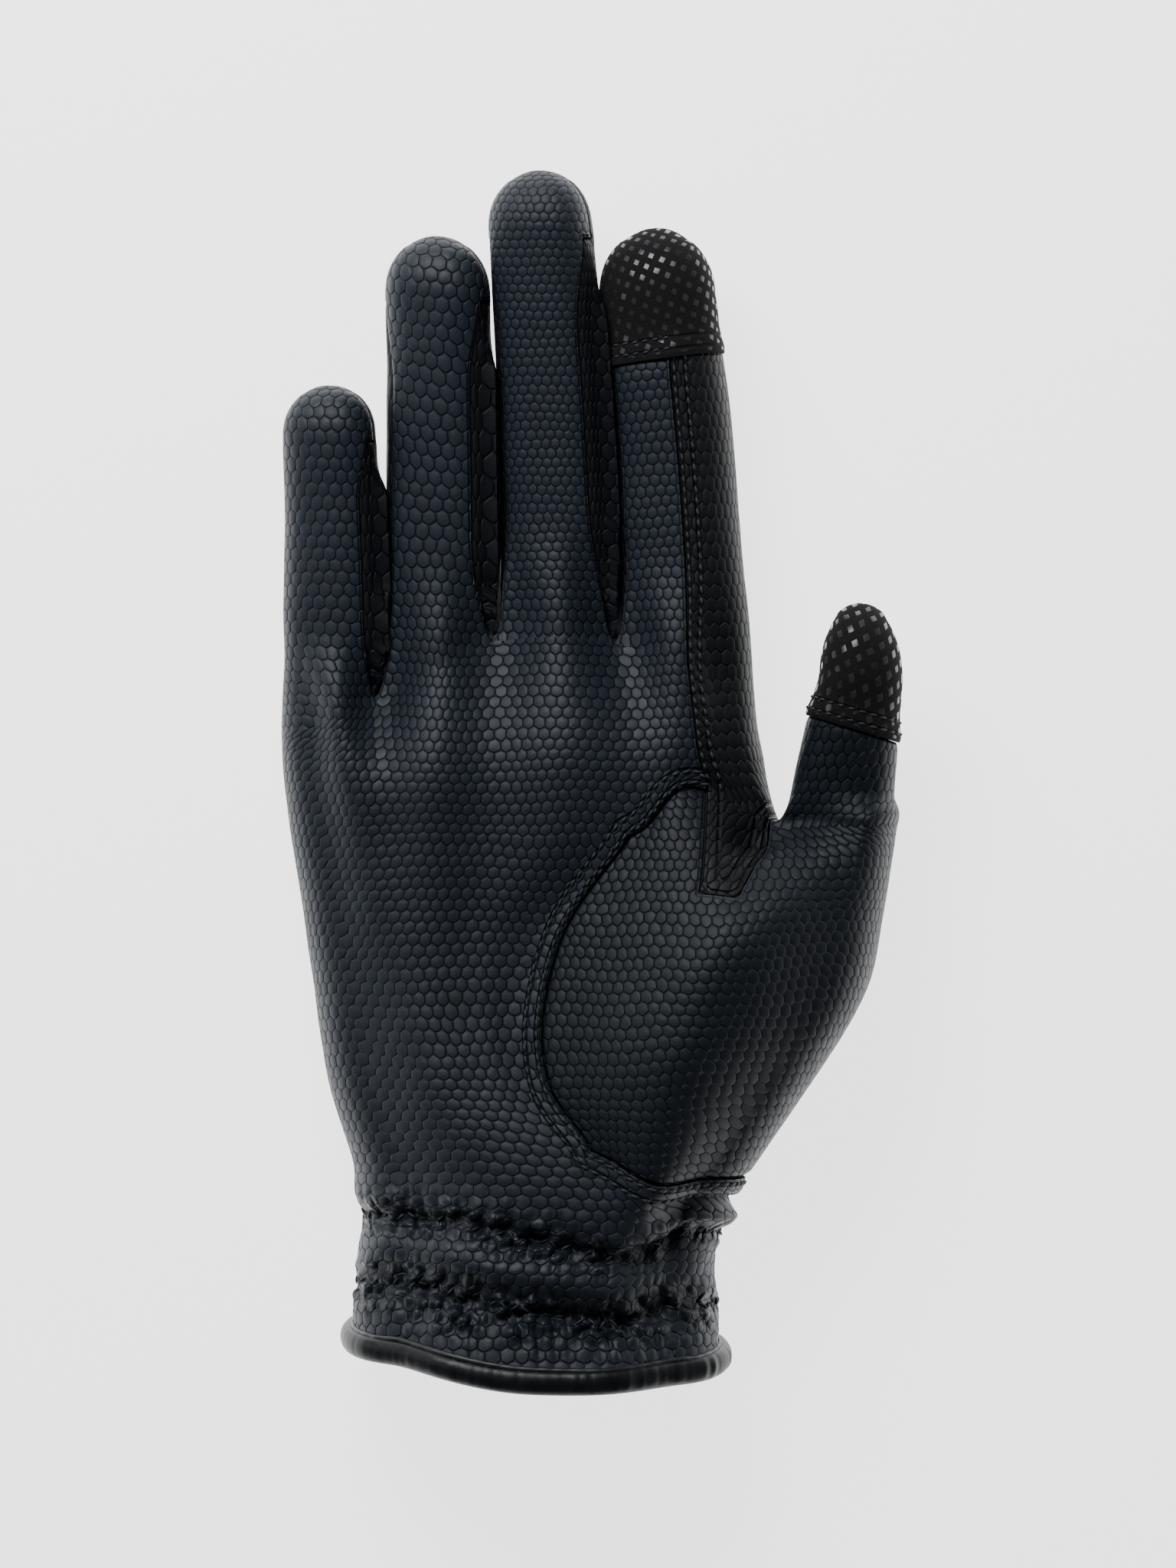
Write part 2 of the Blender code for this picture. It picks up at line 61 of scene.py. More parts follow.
BINDING_HEIGHT = 4.5 * MM
BINDING_THICKNESS = 3.0 * MM
BINDING_LAP = 0.9 * MM
BINDING_SPREAD = 1.1 * MM
HEM_EVENINGS = 36
RIDGE_PLACE = 0.085
RIDGE_WIDTH = 0.62 * MM
RIDGE_HEIGHT = 0.55 * MM
RIDGE_PINCH = 0.14
RIDGE_PINCH_STEPS = 5

# Colours of the leathers and the thread, as linear red, green and blue. The mound's and the strips' leathers are made
# darker as painted shade, and the painted edge highlight is a lighter colour laid along some seam edges.
BLACK_LEATHER = (0.0115, 0.0176, 0.0275)
# The thumb panel's leather is painted darker than the palm's, as painted shade on the mound's lower side, away from
# the light.
MOUND_LEATHER_SHADED = (0.0080, 0.0122, 0.0190)
PATCH_LEATHER = (0.0050, 0.0065, 0.0095)
# The strips between the fingers are painted darker, as painted shade where they lie between the fingers.
STRIP_LEATHER_SHADED = (0.0042, 0.0055, 0.0085)
BINDING_LEATHER = (0.0035, 0.0048, 0.0070)
RIDGE_LEATHER = (0.0110, 0.0130, 0.0165)
# A lighter colour laid along the raised seam edges as a painted highlight.
PAINTED_EDGE_HIGHLIGHT = (0.030, 0.036, 0.047)
THREAD_BLACK = (0.014, 0.017, 0.023)

FLOOR_GLOW = 2.40
SURROUND = 0.10

ACROSS = 15
DOWN = 6
DIGITS = 5
FINGERS = 4
SECTION_POWER = 2.5

Section = namedtuple("Section", "name x y z shoulder swell rise grain_across grain_along back_y", defaults=(None,))
SECTIONS = [
    Section("hem", (-0.280, -0.095, 0.002, 0.100, 0.198, 0.390),
            (0.0450, 0.0325, 0.0240, 0.0218, 0.0228, 0.0285),
            (0.78, 0.95, 1.00, 1.00, 0.97, 0.80), 0.090, 0.00, 0.00, 0.85, 0.92,
            (0.0690, 0.0520, 0.0400, 0.0360, 0.0380, 0.0540)),
    Section("lower gather", (-0.272, -0.090, 0.005, 0.100, 0.195, 0.386),
            (0.0975, 0.0895, 0.0780, 0.0690, 0.0627, 0.0780),
            (0.70, 0.86, 0.92, 0.92, 0.88, 0.72), 0.085, 0.00, 0.05, 0.88, 0.95),
    Section("between gathers", (-0.272, -0.091, 0.006, 0.103, 0.200, 0.382),
            (0.1230, 0.1155, 0.1045, 0.0968, 0.0900, 0.1060),
            (0.76, 0.93, 0.99, 0.99, 0.95, 0.78), 0.088, 0.00, 0.00, 0.88, 0.95),
    Section("upper gather", (-0.262, -0.078, 0.019, 0.114, 0.208, 0.390),
            (0.1500, 0.1445, 0.1345, 0.1245, 0.1168, 0.1360),
            (0.70, 0.86, 0.92, 0.93, 0.90, 0.73), 0.085, 0.00, 0.05, 0.80, 1.00),
    Section("heel", (-0.277, -0.088, 0.020, 0.130, 0.230, 0.404),
            (0.1865, 0.1795, 0.1680, 0.1568, 0.1436, 0.1600),
            (0.71, 0.88, 0.96, 0.98, 0.97, 0.76), 0.085, 0.00, 0.00, 0.76, 1.10),
    Section("seam foot", (-0.305, -0.112, 0.000, 0.155, 0.265, 0.437),
            (0.2275, 0.2218, 0.2136, 0.2027, 0.1765, 0.1790),
            (0.68, 0.86, 0.92, 0.95, 1.02, 0.80), 0.080, 0.00, 0.00, 0.84, 1.10),
    Section("low mound", (-0.328, -0.143, -0.030, 0.080, 0.290, 0.555),
            (0.2705, 0.2682, 0.2614, 0.2523, 0.2386, 0.2570),
            (0.65, 0.82, 0.85, 0.86, 1.08, 0.83), 0.078, 0.00, 0.00, 0.98, 0.98),
    Section("mound", (-0.348, -0.163, -0.050, 0.066, 0.340, 0.650),
            (0.3295, 0.3273, 0.3227, 0.3136, 0.3114, 0.3290),
            (0.62, 0.77, 0.77, 0.78, 1.08, 0.84), 0.074, 0.00, 0.00, 1.02, 0.94),
    Section("high mound", (-0.370, -0.187, -0.050, 0.110, 0.400, 0.686),
            (0.3955, 0.3932, 0.3909, 0.3886, 0.3932, 0.4000),
            (0.58, 0.72, 0.71, 0.71, 0.98, 0.81), 0.068, 0.01, 0.00, 1.08, 1.02),
    Section("web", (-0.390, -0.202, -0.030, 0.226, 0.490, 0.708),
            (0.4590, 0.4568, 0.4545, 0.4586, 0.4690, 0.4680),
            (0.55, 0.69, 0.69, 0.70, 0.55, 0.75), 0.060, 0.03, 0.04, 1.12, 1.08),
    Section("palm top", (-0.402, -0.216, -0.020, 0.228, 0.470),
            (0.5045, 0.5114, 0.5273, 0.5318, 0.5227),
            (0.53, 0.66, 0.66, 0.67, 0.56), 0.055, 0.06, 0.02, 1.12, 1.08),
    Section("finger roots", (-0.407, -0.222, -0.011, 0.208, 0.449),
            (0.5455, 0.5700, 0.6195, 0.6164, 0.5864),
            (0.51, 0.42, 0.43, 0.44, 0.50), 0.050, 0.16, 0.10, 1.10, 1.05),
]
HEM, LOWER_GATHER, BETWEEN_GATHERS, UPPER_GATHER, HEEL, SEAM_FOOT, LOW_MOUND, MOUND, HIGH_MOUND, WEB = range(10)
FINGER_ROOTS = len(SECTIONS) - 1
RINGS_TO_NEXT = (8, 6, 6, 5, 5, 5, 6, 6, 5, 3, 4)
PATCH_TAIL = 8.2

Digit = namedtuple("Digit", "name tip_x tip_y lift root end dome deep roll slant pad grain_across grain_along bend",
                   defaults=(1.6,))
DIGIT_ROWS = [
    Digit("little", -0.316, 0.8280, 0.36, 0.095, 0.083, 0.085, 0.190, 14, 0.00, None, 1.05, 0.90),
    Digit("ring", -0.122, 0.9490, 0.38, 0.099, 0.094, 0.095, 0.205, 14, 0.00, None, 0.98, 0.80),
    Digit("middle", 0.063, 1.0030, 0.43, 0.106, 0.093, 0.100, 0.215, 16, 0.00, None, 1.30, 1.25),
    Digit("index", 0.273, 0.9560, 0.36, 0.115, 0.106, 0.120, 0.215, 13, 0.24, 0.81, 1.20, 1.10),
    Digit("thumb", 0.637, 0.6490, 0.58, 0.096, 0.075, 0.135, 0.235, 0, -0.34, 0.65, 1.15, 0.85, 0.75),
]
LITTLE, RING, MIDDLE, INDEX, THUMB = range(DIGITS)
DIGIT_RINGS = (0.03, 0.06, 0.09, 0.125, 0.16, 0.20, 0.245, 0.29, 0.34, 0.39, 0.445, 0.50, 0.55, 0.60, 0.65,
               0.695, 0.74, 0.78, 0.82, 0.86, 0.90, 0.935, 0.97, 1.0)
DOME_TURNS = (math.radians(14), math.radians(28), math.radians(40), math.radians(52))
MORPH_SHARE = 0.30
SEAM_TURN = math.radians(48)
SEAM_TURN_AT_TIP = math.radians(22)
FOURCHETTE_END = 0.985
PATCH_COLUMN = 9
DIGIT_PLACE = 20

PANELS = ["palm_panel", "back_panel", "thumb_panel", "index_side_patch", "index_tip_pad", "thumb_tip_pad",
          "fourchette_little_ring", "fourchette_ring_middle", "fourchette_middle_index"]


def spline(knots, place):
    """Reads a smooth curve through evenly spaced knots at a place counted in knots."""
    last = len(knots) - 1
    start = min(int(place), last - 1)
    share = place - start
    before = knots[start - 1] if start > 0 else 2 * knots[0] - knots[1]
    after = knots[start + 2] if start + 2 <= last else 2 * knots[last] - knots[last - 1]
    first, second = knots[start], knots[start + 1]
    bend = 2 * before - 5 * first + 4 * second - after
    twist = 3 * (first - second) + after - before
    return first + 0.5 * share * (second - before + share * (bend + share * twist))


def ease(share):
    """Turns 0 to 1 into a smooth step."""
    share = max(0.0, min(1.0, share))
    return share * share * (3 - 2 * share)


def hump(distance, width):
    """A soft bump, 1 at no distance."""
    return math.exp(-(distance / width) ** 2)


def power(base, exponent):
    """Raises a number to a power and keeps its sign."""
    return math.copysign(abs(base) ** exponent, base)


def middle_of(points):
    """The middle of the box that holds some points."""
    return Vector([(min(p[axis] for p in points) + max(p[axis] for p in points)) / 2 for axis in range(3)])


def section_point(index, across, on_palm):
    """The point of one section of the table, across counted in digits from the left edge."""
    section = SECTIONS[index]
    inside = across - INDEX
    if index == HIGH_MOUND and 0 < inside < 1:
        across += PATCH_LEAN * inside * (1 - inside)
    lines = [share * HAND_WIDTH for share in section.x]
    lines[0] += section.shoulder * HAND_WIDTH
    lines[-1] -= section.shoulder * HAND_WIDTH
    x = spline(lines, across)
    y = spline(section.y if on_palm else section.back_y or section.y, across) * GLOVE_LENGTH
    bulge = math.sin(math.pi * (across % 1.0)) ** 2
    if index == WEB and INDEX < across < THUMB:
        y += WEB_ARCH * bulge
        x -= WEB_PULL * bulge
    if on_palm:
        z = (spline(section.z, across) + section.swell * bulge) * HAND_DEPTH
    else:
        z = section.rise * (1 - bulge) * HAND_DEPTH
    return Vector((x, y, z))


def hand_point(ring, across, on_palm):
    """The point of the hand's skin at a ring counted in sections."""
    low = min(int(ring), len(SECTIONS) - 2)
    if ring == low:
        return section_point(low, across, on_palm)
    first = max(low - 1, 0)
    last = min(low + 2, len(SECTIONS) - 1)
    if ring < WEB:
        last = min(last, WEB)
    else:
        first = max(first, WEB)
    points = [section_point(index, across, on_palm) for index in range(first, last + 1)]
    return Vector([spline([point[axis] for point in points], ring - first) for axis in range(3)])


def side_points(front, back, outward):
    """The points between a palm edge and a back edge, on a half ellipse that bulges outward."""
    middle = (front + back) / 2
    half = (front - back) / 2
    turns = [math.pi * step / DOWN for step in range(1, DOWN)]
    return [middle + half * math.cos(turn) + outward * math.sin(turn) for turn in turns]


def section_value(name, ring):
    """Reads a column of the table of sections at a ring."""
    low = min(int(ring), len(SECTIONS) - 2)
    share = ring - low
    return getattr(SECTIONS[low], name) * (1 - share) + getattr(SECTIONS[low + 1], name) * share


def hand_ring(ring, digits):
    """One closed ring round the hand: palm left to right, right side, back right to left, left side."""
    columns = digits * ACROSS
    palm = [hand_point(ring, column / ACROSS, True) for column in range(columns + 1)]
    back = [hand_point(ring, column / ACROSS, False) for column in range(columns, -1, -1)]
    left = Vector((-section_value("shoulder", ring) * HAND_WIDTH, 0, 0))
    right = -left * min(1.0, abs(ring - WEB) if digits == FINGERS else 1.0)
    points = palm + side_points(palm[-1], back[0], right)
    points += back + side_points(palm[0], back[-1], left)[::-1]
    for point in points:
        point.z = max(point.z, 0.0)
    return points


def arcs_of(points):
    """The length round a closed ring up to each point, and the whole of it last."""
    lengths = [0.0]
    for here, after in zip(points, points[1:] + points[:1]):
        lengths.append(lengths[-1] + (after - here).length)
    return lengths


def arc_at(arcs, place):
    """The length round a ring up to a place, which may lie between points or before the first one."""
    count = len(arcs) - 1
    turns = math.floor(place / count)
    place -= turns * count
    low = int(place)
    return arcs[low] + (arcs[low + 1] - arcs[low]) * (place - low) + turns * arcs[count]


class Skin:
    """The glove's outer skin: points, and quads that know their panel, their grain and their place on the hand."""

    def __init__(self):
        self.points = []
        self.along = []
        self.faces = []
        self.panels = []
        self.grain = []
        self.place = []

    def add(self, points, along):
        """Adds points and how far up the grain they lie, and returns their numbers."""
        start = len(self.points)
        self.points.extend(points)
        self.along.extend(along)
        return list(range(start, len(self.points)))

    def arcs(self, ring):
        """The lengths round a ring of point numbers."""
        return arcs_of([self.points[corner] for corner in ring])

    def face(self, corners, panel, grain, place):
        """Adds one quad."""
        self.faces.append(corners)
        self.panels.append(PANELS.index(panel))
        self.grain.append(grain)
        self.place.append(place)

    def bridge(self, low, high, rows, spreads, panel_of, region_of):
        """Joins two closed rings with quads. rows are the rings' places up the hand, spreads their grain's widths."""
        count = len(low)
        arcs = [self.arcs(low), self.arcs(high)]
        for place in range(count):
            after = (place + 1) % count
            panel = panel_of(place)
            centre, base, shift = region_of(place, panel)
            corners = (low[place], low[after], high[after], high[place])
            grain, spots = [], []
            for corner, which, step in zip(corners, (0, 0, 1, 1), (0, 1, 1, 0)):
                across = arc_at(arcs[which], place + step + shift) - arc_at(arcs[which], centre)
                grain.append((base + across * spreads[which], self.along[corner]))
                spots.append((rows[which], arcs[which][place + step] / arcs[which][-1]))
            self.face(corners, panel, grain, spots)

    def fold(self, front, back):
        """Adds the points down the fold between two digits and returns their numbers."""
        self.points[front].x -= FOLD_LEAN
        self.points[back].x += FOLD_LEAN
        steps = [step / DOWN for step in range(1, DOWN)]
        return self.add([self.points[front].lerp(self.points[back], share) for share in steps],
                        [self.along[front] * (1 - share) + self.along[back] * share for share in steps])


def palm_or_back(place, columns):
    """The panel of a quad that is on no digit's side."""
    on_palm = place < columns + DOWN // 2 or place >= 2 * columns + DOWN + DOWN // 2
    return "palm_panel" if on_palm else "back_panel"


def hand_panel(ring, place, digits):
    """The panel of a quad of the hand."""
    patch_start = INDEX * ACROSS + PATCH_COLUMN
    if digits == FINGERS:
        if patch_start <= place < FINGERS * ACROSS + DOWN:
            return "index_side_patch"
    elif ring > PATCH_TAIL and patch_start <= place < THUMB * ACROSS:
        return "index_side_patch"
    elif ring > SEAM_FOOT and INDEX * ACROSS <= place < DIGITS * ACROSS + DOWN:
        return "thumb_panel"
    return palm_or_back(place, digits * ACROSS)


def hand_region(place, panel, digits):
    """Where a hand quad's grain is counted from: a place on the ring, its own grain there, and a turn back."""
    columns = digits * ACROSS
    middle = MIDDLE * ACROSS
    if panel == "index_side_patch":
        return FINGERS * ACROSS, 0.0, 0
    if panel == "back_panel":
        return columns + DOWN + columns - middle, 0.5, 0
    shift = -(2 * columns + 2 * DOWN) if place >= 2 * columns + DOWN else 0
    return middle, 0.0, shift


def digit_panel(number, share, place):
    """The panel of a quad of a digit. share is how far up the digit it is."""
    right_side = ACROSS <= place < ACROSS + DOWN
    left_side = place >= 2 * ACROSS + DOWN
    strip = share < FOURCHETTE_END
    digit = DIGIT_ROWS[number]
    if digit.pad is not None and share > digit.pad:
        return digit.name + "_tip_pad"
    if number == THUMB:
        return "thumb_panel"
    if left_side and number > LITTLE and strip:
        return fourchette_name(number - 1)
    if right_side and number < INDEX and strip:
        return fourchette_name(number)
    if number == INDEX and (right_side or PATCH_COLUMN <= place < ACROSS):
        return "index_side_patch"
    return palm_or_back(place, ACROSS)


def digit_region(place, panel, bases):
    """Where a digit quad's grain is counted from."""
    count = 2 * ACROSS + 2 * DOWN
    face, back = bases
    if panel == "index_side_patch":
        return ACROSS, 0.0, 0
    if panel.startswith("fourchette"):
        return (ACROSS + DOWN / 2 if place < ACROSS + DOWN else 2 * ACROSS + 1.5 * DOWN), 0.2, 0
    if panel == "back_panel" or (panel != "palm_panel" and ACROSS + DOWN <= place < 2 * ACROSS + DOWN):
        return 1.5 * ACROSS + DOWN, back, 0
    return ACROSS / 2, face, -count if place >= 2 * ACROSS + DOWN else 0


def fourchette_name(number):
    """The name of the strip between a finger and the next one towards the thumb."""
    return "fourchette_" + DIGIT_ROWS[number].name + "_" + DIGIT_ROWS[number + 1].name


def digit_ring(digit, root, straight, scale, along):
    """The points of a digit's ring from its size there. straight is the share of its straight length."""
    bent = straight ** digit.bend
    middle_x = root.x + (digit.tip_x * HAND_WIDTH - root.x) * bent
    middle_z = root.z + (digit.lift * HAND_DEPTH - root.z) * bent
    half_width = (digit.root + (digit.end - digit.root) * straight) * HAND_WIDTH
    half_depth = digit.deep * HAND_DEPTH
    narrow = ease((straight - 0.75) / 0.25)
    seam_turn = SEAM_TURN + (SEAM_TURN_AT_TIP - SEAM_TURN) * narrow
    face = [math.pi - seam_turn - (math.pi - 2 * seam_turn) * step / ACROSS for step in range(ACROSS + 1)]
    side = [seam_turn - 2 * seam_turn * step / DOWN for step in range(1, DOWN)]
    turns = face + side + [-turn for turn in face[::-1]] + [math.pi - turn for turn in side[::-1]]
    roll = math.radians(digit.roll)
    points = []
    for turn in turns:
        flat = power(math.cos(turn), 2 / SECTION_POWER) * half_width * scale
        deep = power(math.sin(turn), 2 / SECTION_POWER) * half_depth * scale
        x = flat * math.cos(roll) - deep * math.sin(roll)
        z = flat * math.sin(roll) + deep * math.cos(roll)
        rise = digit.slant * flat * math.sin(math.pi * straight)
        points.append(Vector((middle_x + x, along + rise, max(middle_z + z, 0.0))))
    return points


def root_shape(number, offset, centre):
    """A point of the root's outline carried up to a ring, clear of the next digit."""
    beside = number > LITTLE if offset.x < 0 else number < INDEX
    half_width = DIGIT_ROWS[number].root * HAND_WIDTH
    if beside:
        offset = offset - Vector((FINGER_GAP / 2 * offset.x / half_width, 0, 0))
    return centre + offset


def add_digit(skin, number, ring, bases, spread, stretch):
    """Grows a digit from the ring of its root to its rounded tip. spread and stretch are the grain's at its root."""
    digit = DIGIT_ROWS[number]
    root_points = [skin.points[corner] for corner in ring]
    root = middle_of(root_points)
    dome = digit.dome * HAND_WIDTH
    length = digit.tip_y * GLOVE_LENGTH - dome - root.y
    rows = [(share, None) for share in DIGIT_RINGS] + [(1.0, turn) for turn in DOME_TURNS]
    low_share, low_spread = 0.0, spread
    for share, turn in rows:
        if turn is None:
            points = digit_ring(digit, root, share, 1.0, root.y + length * share)
            centre = middle_of(points)
            morph = ease(share / MORPH_SHARE)
            points = [root_shape(number, start - root, centre).lerp(point, morph)
                      for start, point in zip(root_points, points)]
            for point in points:
                point.z = max(point.z, 0.0)
        else:
            points = digit_ring(digit, root, 1.0, math.cos(turn), root.y + length + dome * math.sin(turn))
        change = ease(share / 0.35)
        high_spread = spread + (digit.grain_across - spread) * change
        pace = stretch + (digit.grain_along - stretch) * change
        steps = [(point - skin.points[corner]).length for corner, point in zip(ring, points)]
        rises = [point.y - skin.points[corner].y for corner, point in zip(ring, points)]
        climb = rises if turn is None else [sum(steps) / len(steps)] * len(steps)
        along = [skin.along[corner] + step * pace for corner, step in zip(ring, climb)]
        higher = skin.add(points, along)
        middle_share = (low_share + share) / 2 if turn is None else 1.0
        skin.bridge(ring, higher, (DIGIT_PLACE + low_share, DIGIT_PLACE + share), (low_spread, high_spread),
                    lambda place: digit_panel(number, middle_share, place),
                    lambda place, panel: digit_region(place, panel, bases))
        ring, low_share, low_spread = higher, share, high_spread
    close_tip(skin, number, ring, root.y + length, dome, bases, low_spread)


def close_tip(skin, number, ring, dome_start, dome, bases, spread):
    """Closes a digit's end with a grid of quads that carries the face over to the back."""
    digit = DIGIT_ROWS[number]
    face = ring[:ACROSS + 1]
    right = ring[ACROSS + 1:ACROSS + DOWN]
    back = ring[ACROSS + DOWN:2 * ACROSS + DOWN + 1][::-1]
    left = ring[2 * ACROSS + DOWN + 1:][::-1]
    rim = [skin.points[corner] for corner in ring]
    middle = sum(rim, Vector()) / len(rim)
    reach = sum((point - middle).length for point in rim) / len(rim)
    end_turn = DOME_TURNS[-1]
    rows = [face]
    for step in range(1, DOWN):
        down = step / DOWN
        row = [left[step - 1]]
        for column in range(1, ACROSS):
            over = column / ACROSS
            across_way = skin.points[left[step - 1]].lerp(skin.points[right[step - 1]], over)
            down_way = skin.points[face[column]].lerp(skin.points[back[column]], down)
            point = (across_way + down_way) / 2
            flat = Vector((point.x - middle.x, 0, point.z - middle.z)).length / reach
            turn = math.acos(min(1.0, flat * math.cos(end_turn)))
            point.y = dome_start + dome * math.sin(max(turn, end_turn))
            row += skin.add([point], [0.0])
        row.append(right[step - 1])
        rows.append(row)
    rows.append(back)
    arcs = skin.arcs(ring)
    for step, (low, high) in enumerate(zip(rows, rows[1:])):
        on_face = step < DOWN // 2
        panel = digit_panel(number, 1.0, 0 if on_face else ACROSS + DOWN)
        for column in range(ACROSS):
            corners = (low[column], low[column + 1], high[column + 1], high[column])
            grain = []
            for corner, over in zip(corners, (column, column + 1, column + 1, column)):
                start = face[over] if on_face else back[over]
                across = arc_at(arcs, over) - arc_at(arcs, ACROSS / 2)
                if not on_face:
                    across = arc_at(arcs, 2 * ACROSS + DOWN - over) - arc_at(arcs, 1.5 * ACROSS + DOWN)
                up = (skin.points[corner] - skin.points[start]).length * digit.grain_along
                grain.append((bases[0 if on_face else 1] + across * spread, skin.along[start] + up))
            skin.face(corners, panel, grain, [(DIGIT_PLACE + 1.0, over / ACROSS) for over in (0, 1, 1, 0)])


def hand_rings(skin, rings, digits, ring, panel_of):
    """Adds the rings of the hand above a first one, and returns the last one's point numbers."""
    for low_row, high_row in zip(rings, rings[1:]):
        pace = section_value("grain_along", (low_row + high_row) / 2)
        points = hand_ring(high_row, digits)
        along = [skin.along[corner] + (point.y - skin.points[corner].y) * pace for corner, point in zip(ring, points)]
        higher = skin.add(points, along)
        spreads = [section_value("grain_across", row) for row in (low_row, high_row)]
        skin.bridge(ring, higher, (low_row, high_row), spreads,
                    lambda place: panel_of((low_row + high_row) / 2, place, digits),
                    lambda place, panel: hand_region(place, panel, digits))
        ring = higher
    return ring


def rows_between(first, last):
    """The places of the rings from one section to another."""
    rows = []
    for section in range(first, last):
        rows += [section + step / RINGS_TO_NEXT[section] for step in range(RINGS_TO_NEXT[section])]
    return rows + [last]


def grain_at(skin, ring, place, region, spread):
    """The width of the grain at a place of a ring."""
    centre, base, _ = region
    arcs = skin.arcs(ring)
    return base + (arc_at(arcs, place) - arc_at(arcs, centre)) * spread


def build_skin():
    """Builds the whole skin: the hand up to the web, the hand up to the finger roots, then the digits."""
    skin = Skin()
    columns = DIGITS * ACROSS
    first = hand_ring(HEM, DIGITS)
    low = skin.add(first, [point.y for point in first])
    low = hand_rings(skin, rows_between(HEM, WEB), DIGITS, low, hand_panel)
    palm = low[:columns + 1]
    outer = low[columns + 1:columns + DOWN]
    back = low[columns + DOWN:2 * columns + DOWN + 1][::-1]
    inner = low[2 * columns + DOWN + 1:]
    split = THUMB * ACROSS
    spread = section_value("grain_across", WEB)
    thumb_bases = (grain_at(skin, low, split + ACROSS / 2, hand_region(0, "palm_panel", DIGITS), spread),
                   grain_at(skin, low, columns + DOWN + ACROSS / 2, hand_region(0, "back_panel", DIGITS), spread))
    web = skin.fold(palm[split], back[split])
    thumb_root = palm[split:] + outer + back[split:][::-1] + web[::-1]
    low = palm[:split + 1] + web + back[:split + 1][::-1] + inner
    low = hand_rings(skin, rows_between(WEB, FINGER_ROOTS), FINGERS, low, hand_panel)
    columns = FINGERS * ACROSS
    palm = low[:columns + 1]
    outer = low[columns + 1:columns + DOWN]
    back = low[columns + DOWN:2 * columns + DOWN + 1][::-1]
    side = low[2 * columns + DOWN + 1:]
    root_spread = section_value("grain_across", FINGER_ROOTS)
    stretch = section_value("grain_along", FINGER_ROOTS)
    for finger in range(FINGERS):
        start, end = finger * ACROSS, (finger + 1) * ACROSS
        bases = (grain_at(skin, low, start + ACROSS / 2, hand_region(0, "palm_panel", FINGERS), root_spread),
                 grain_at(skin, low, columns + DOWN + columns - start - ACROSS / 2,
                          hand_region(0, "back_panel", FINGERS), root_spread))
        right = skin.fold(palm[end], back[end]) if finger < INDEX else outer
        root = palm[start:end + 1] + right + back[start:end + 1][::-1] + side
        add_digit(skin, finger, root, bases, root_spread, stretch)
        side = right[::-1]
    add_digit(skin, THUMB, thumb_root, thumb_bases, spread, section_value("grain_along", WEB))
    return skin


def smoothed_skin(skin):
    """Makes the skin a mesh with its grain and places as UV maps, and smooths it once."""
    mesh = bpy.data.meshes.new("glove_skin")
    drop = Vector((0, ORIGIN_SHARE * GLOVE_LENGTH, 0))
    mesh.from_pydata([point - drop for point in skin.points], [], skin.faces)
    for name, values in (("grain", skin.grain), ("place", skin.place)):
        layer = mesh.uv_layers.new(name=name)
        layer.data.foreach_set("uv", [number for face in values for corner in face for number in corner])
    for _ in PANELS:
        mesh.materials.append(None)
    mesh.polygons.foreach_set("material_index", skin.panels)
    body = bpy.data.objects.new("glove_skin", mesh)
    bpy.context.scene.collection.objects.link(body)
    smooth = body.modifiers.new("smooth", "SUBSURF")
    smooth.levels = smooth.render_levels = 1
    smooth.uv_smooth = "NONE"
    pick(body)
    bpy.ops.object.modifier_apply(modifier=smooth.name)
    return body


def pick(item):
    """Makes one object the only selected and active one."""
    for other in list(bpy.context.selected_objects):
        other.select_set(False)
    bpy.context.view_layer.objects.active = item
    item.select_set(True)


def wavy(position, size, seed):
    """Soft noise from -1 to 1 with features of a size."""
    return noise.noise(position / size + Vector((seed, seed * 1.7, seed * 0.6)))


GATHERS = ((LOWER_GATHER, 1.0, 3.1), (UPPER_GATHER, 0.85, 8.7))
SECTION_PITCH = 7.0 * MM
WIDEST_GAP = 6.0 * MM
WEB_HOLLOW = (44.6 * MM, 25.6 * MM, 4.4 * MM, 2.6 * MM)
WIDEST_SWELL = 2.2 * MM
STRIP_SHARE = 0.80
PUCKER = 2.7 * MM
GATHER_REACH = 3.0 * MM


def puckers(position, seed):
    """Round lumps a pucker wide, as leather makes between close stitches."""
    spot = position / PUCKER + Vector((seed, seed, 0))
    distances, _ = noise.voronoi(spot, distance_metric="DISTANCE", exponent=2.5)
    return 1 - min(1.0, distances[0] / 0.72) ** 2


def gather_distance(row, seed, ring, around):
    """How far a point is above a gathered row, which wanders a little."""
    spot = Vector((math.cos(around * 2 * math.pi), math.sin(around * 2 * math.pi), seed))
    return (ring - row) * SECTION_PITCH + 1.3 * MM * noise.noise(spot * 2.6) + 0.6 * MM * noise.noise(spot * 9.0)


def gather_relief(position, ring, around):
    """How far the leather stands out near the two gathered rows."""
    height = 0.0
    for row, strength, seed in GATHERS:
        spot = Vector((math.cos(around * 2 * math.pi), math.sin(around * 2 * math.pi), seed))
        away = gather_distance(row, seed, ring, around)
        if abs(away) > 10 * MM:
            continue
        size = 0.8 + 0.5 * noise.noise(spot * 5.0 + Vector((0, seed, 0)))
        ribs = abs(math.sin(math.pi * (around * 52 + 1.2 * noise.noise(spot * 6.0)))) - 0.5
        height += strength * 1.9 * MM * size * (puckers(position, seed) - 0.42) * hump(away, 3.6 * MM)
        height += strength * 0.40 * MM * size * ribs * hump(abs(away) - 3.4 * MM, 3.2 * MM)
        height -= strength * 0.45 * MM * hump(away, 1.0 * MM)
    return height


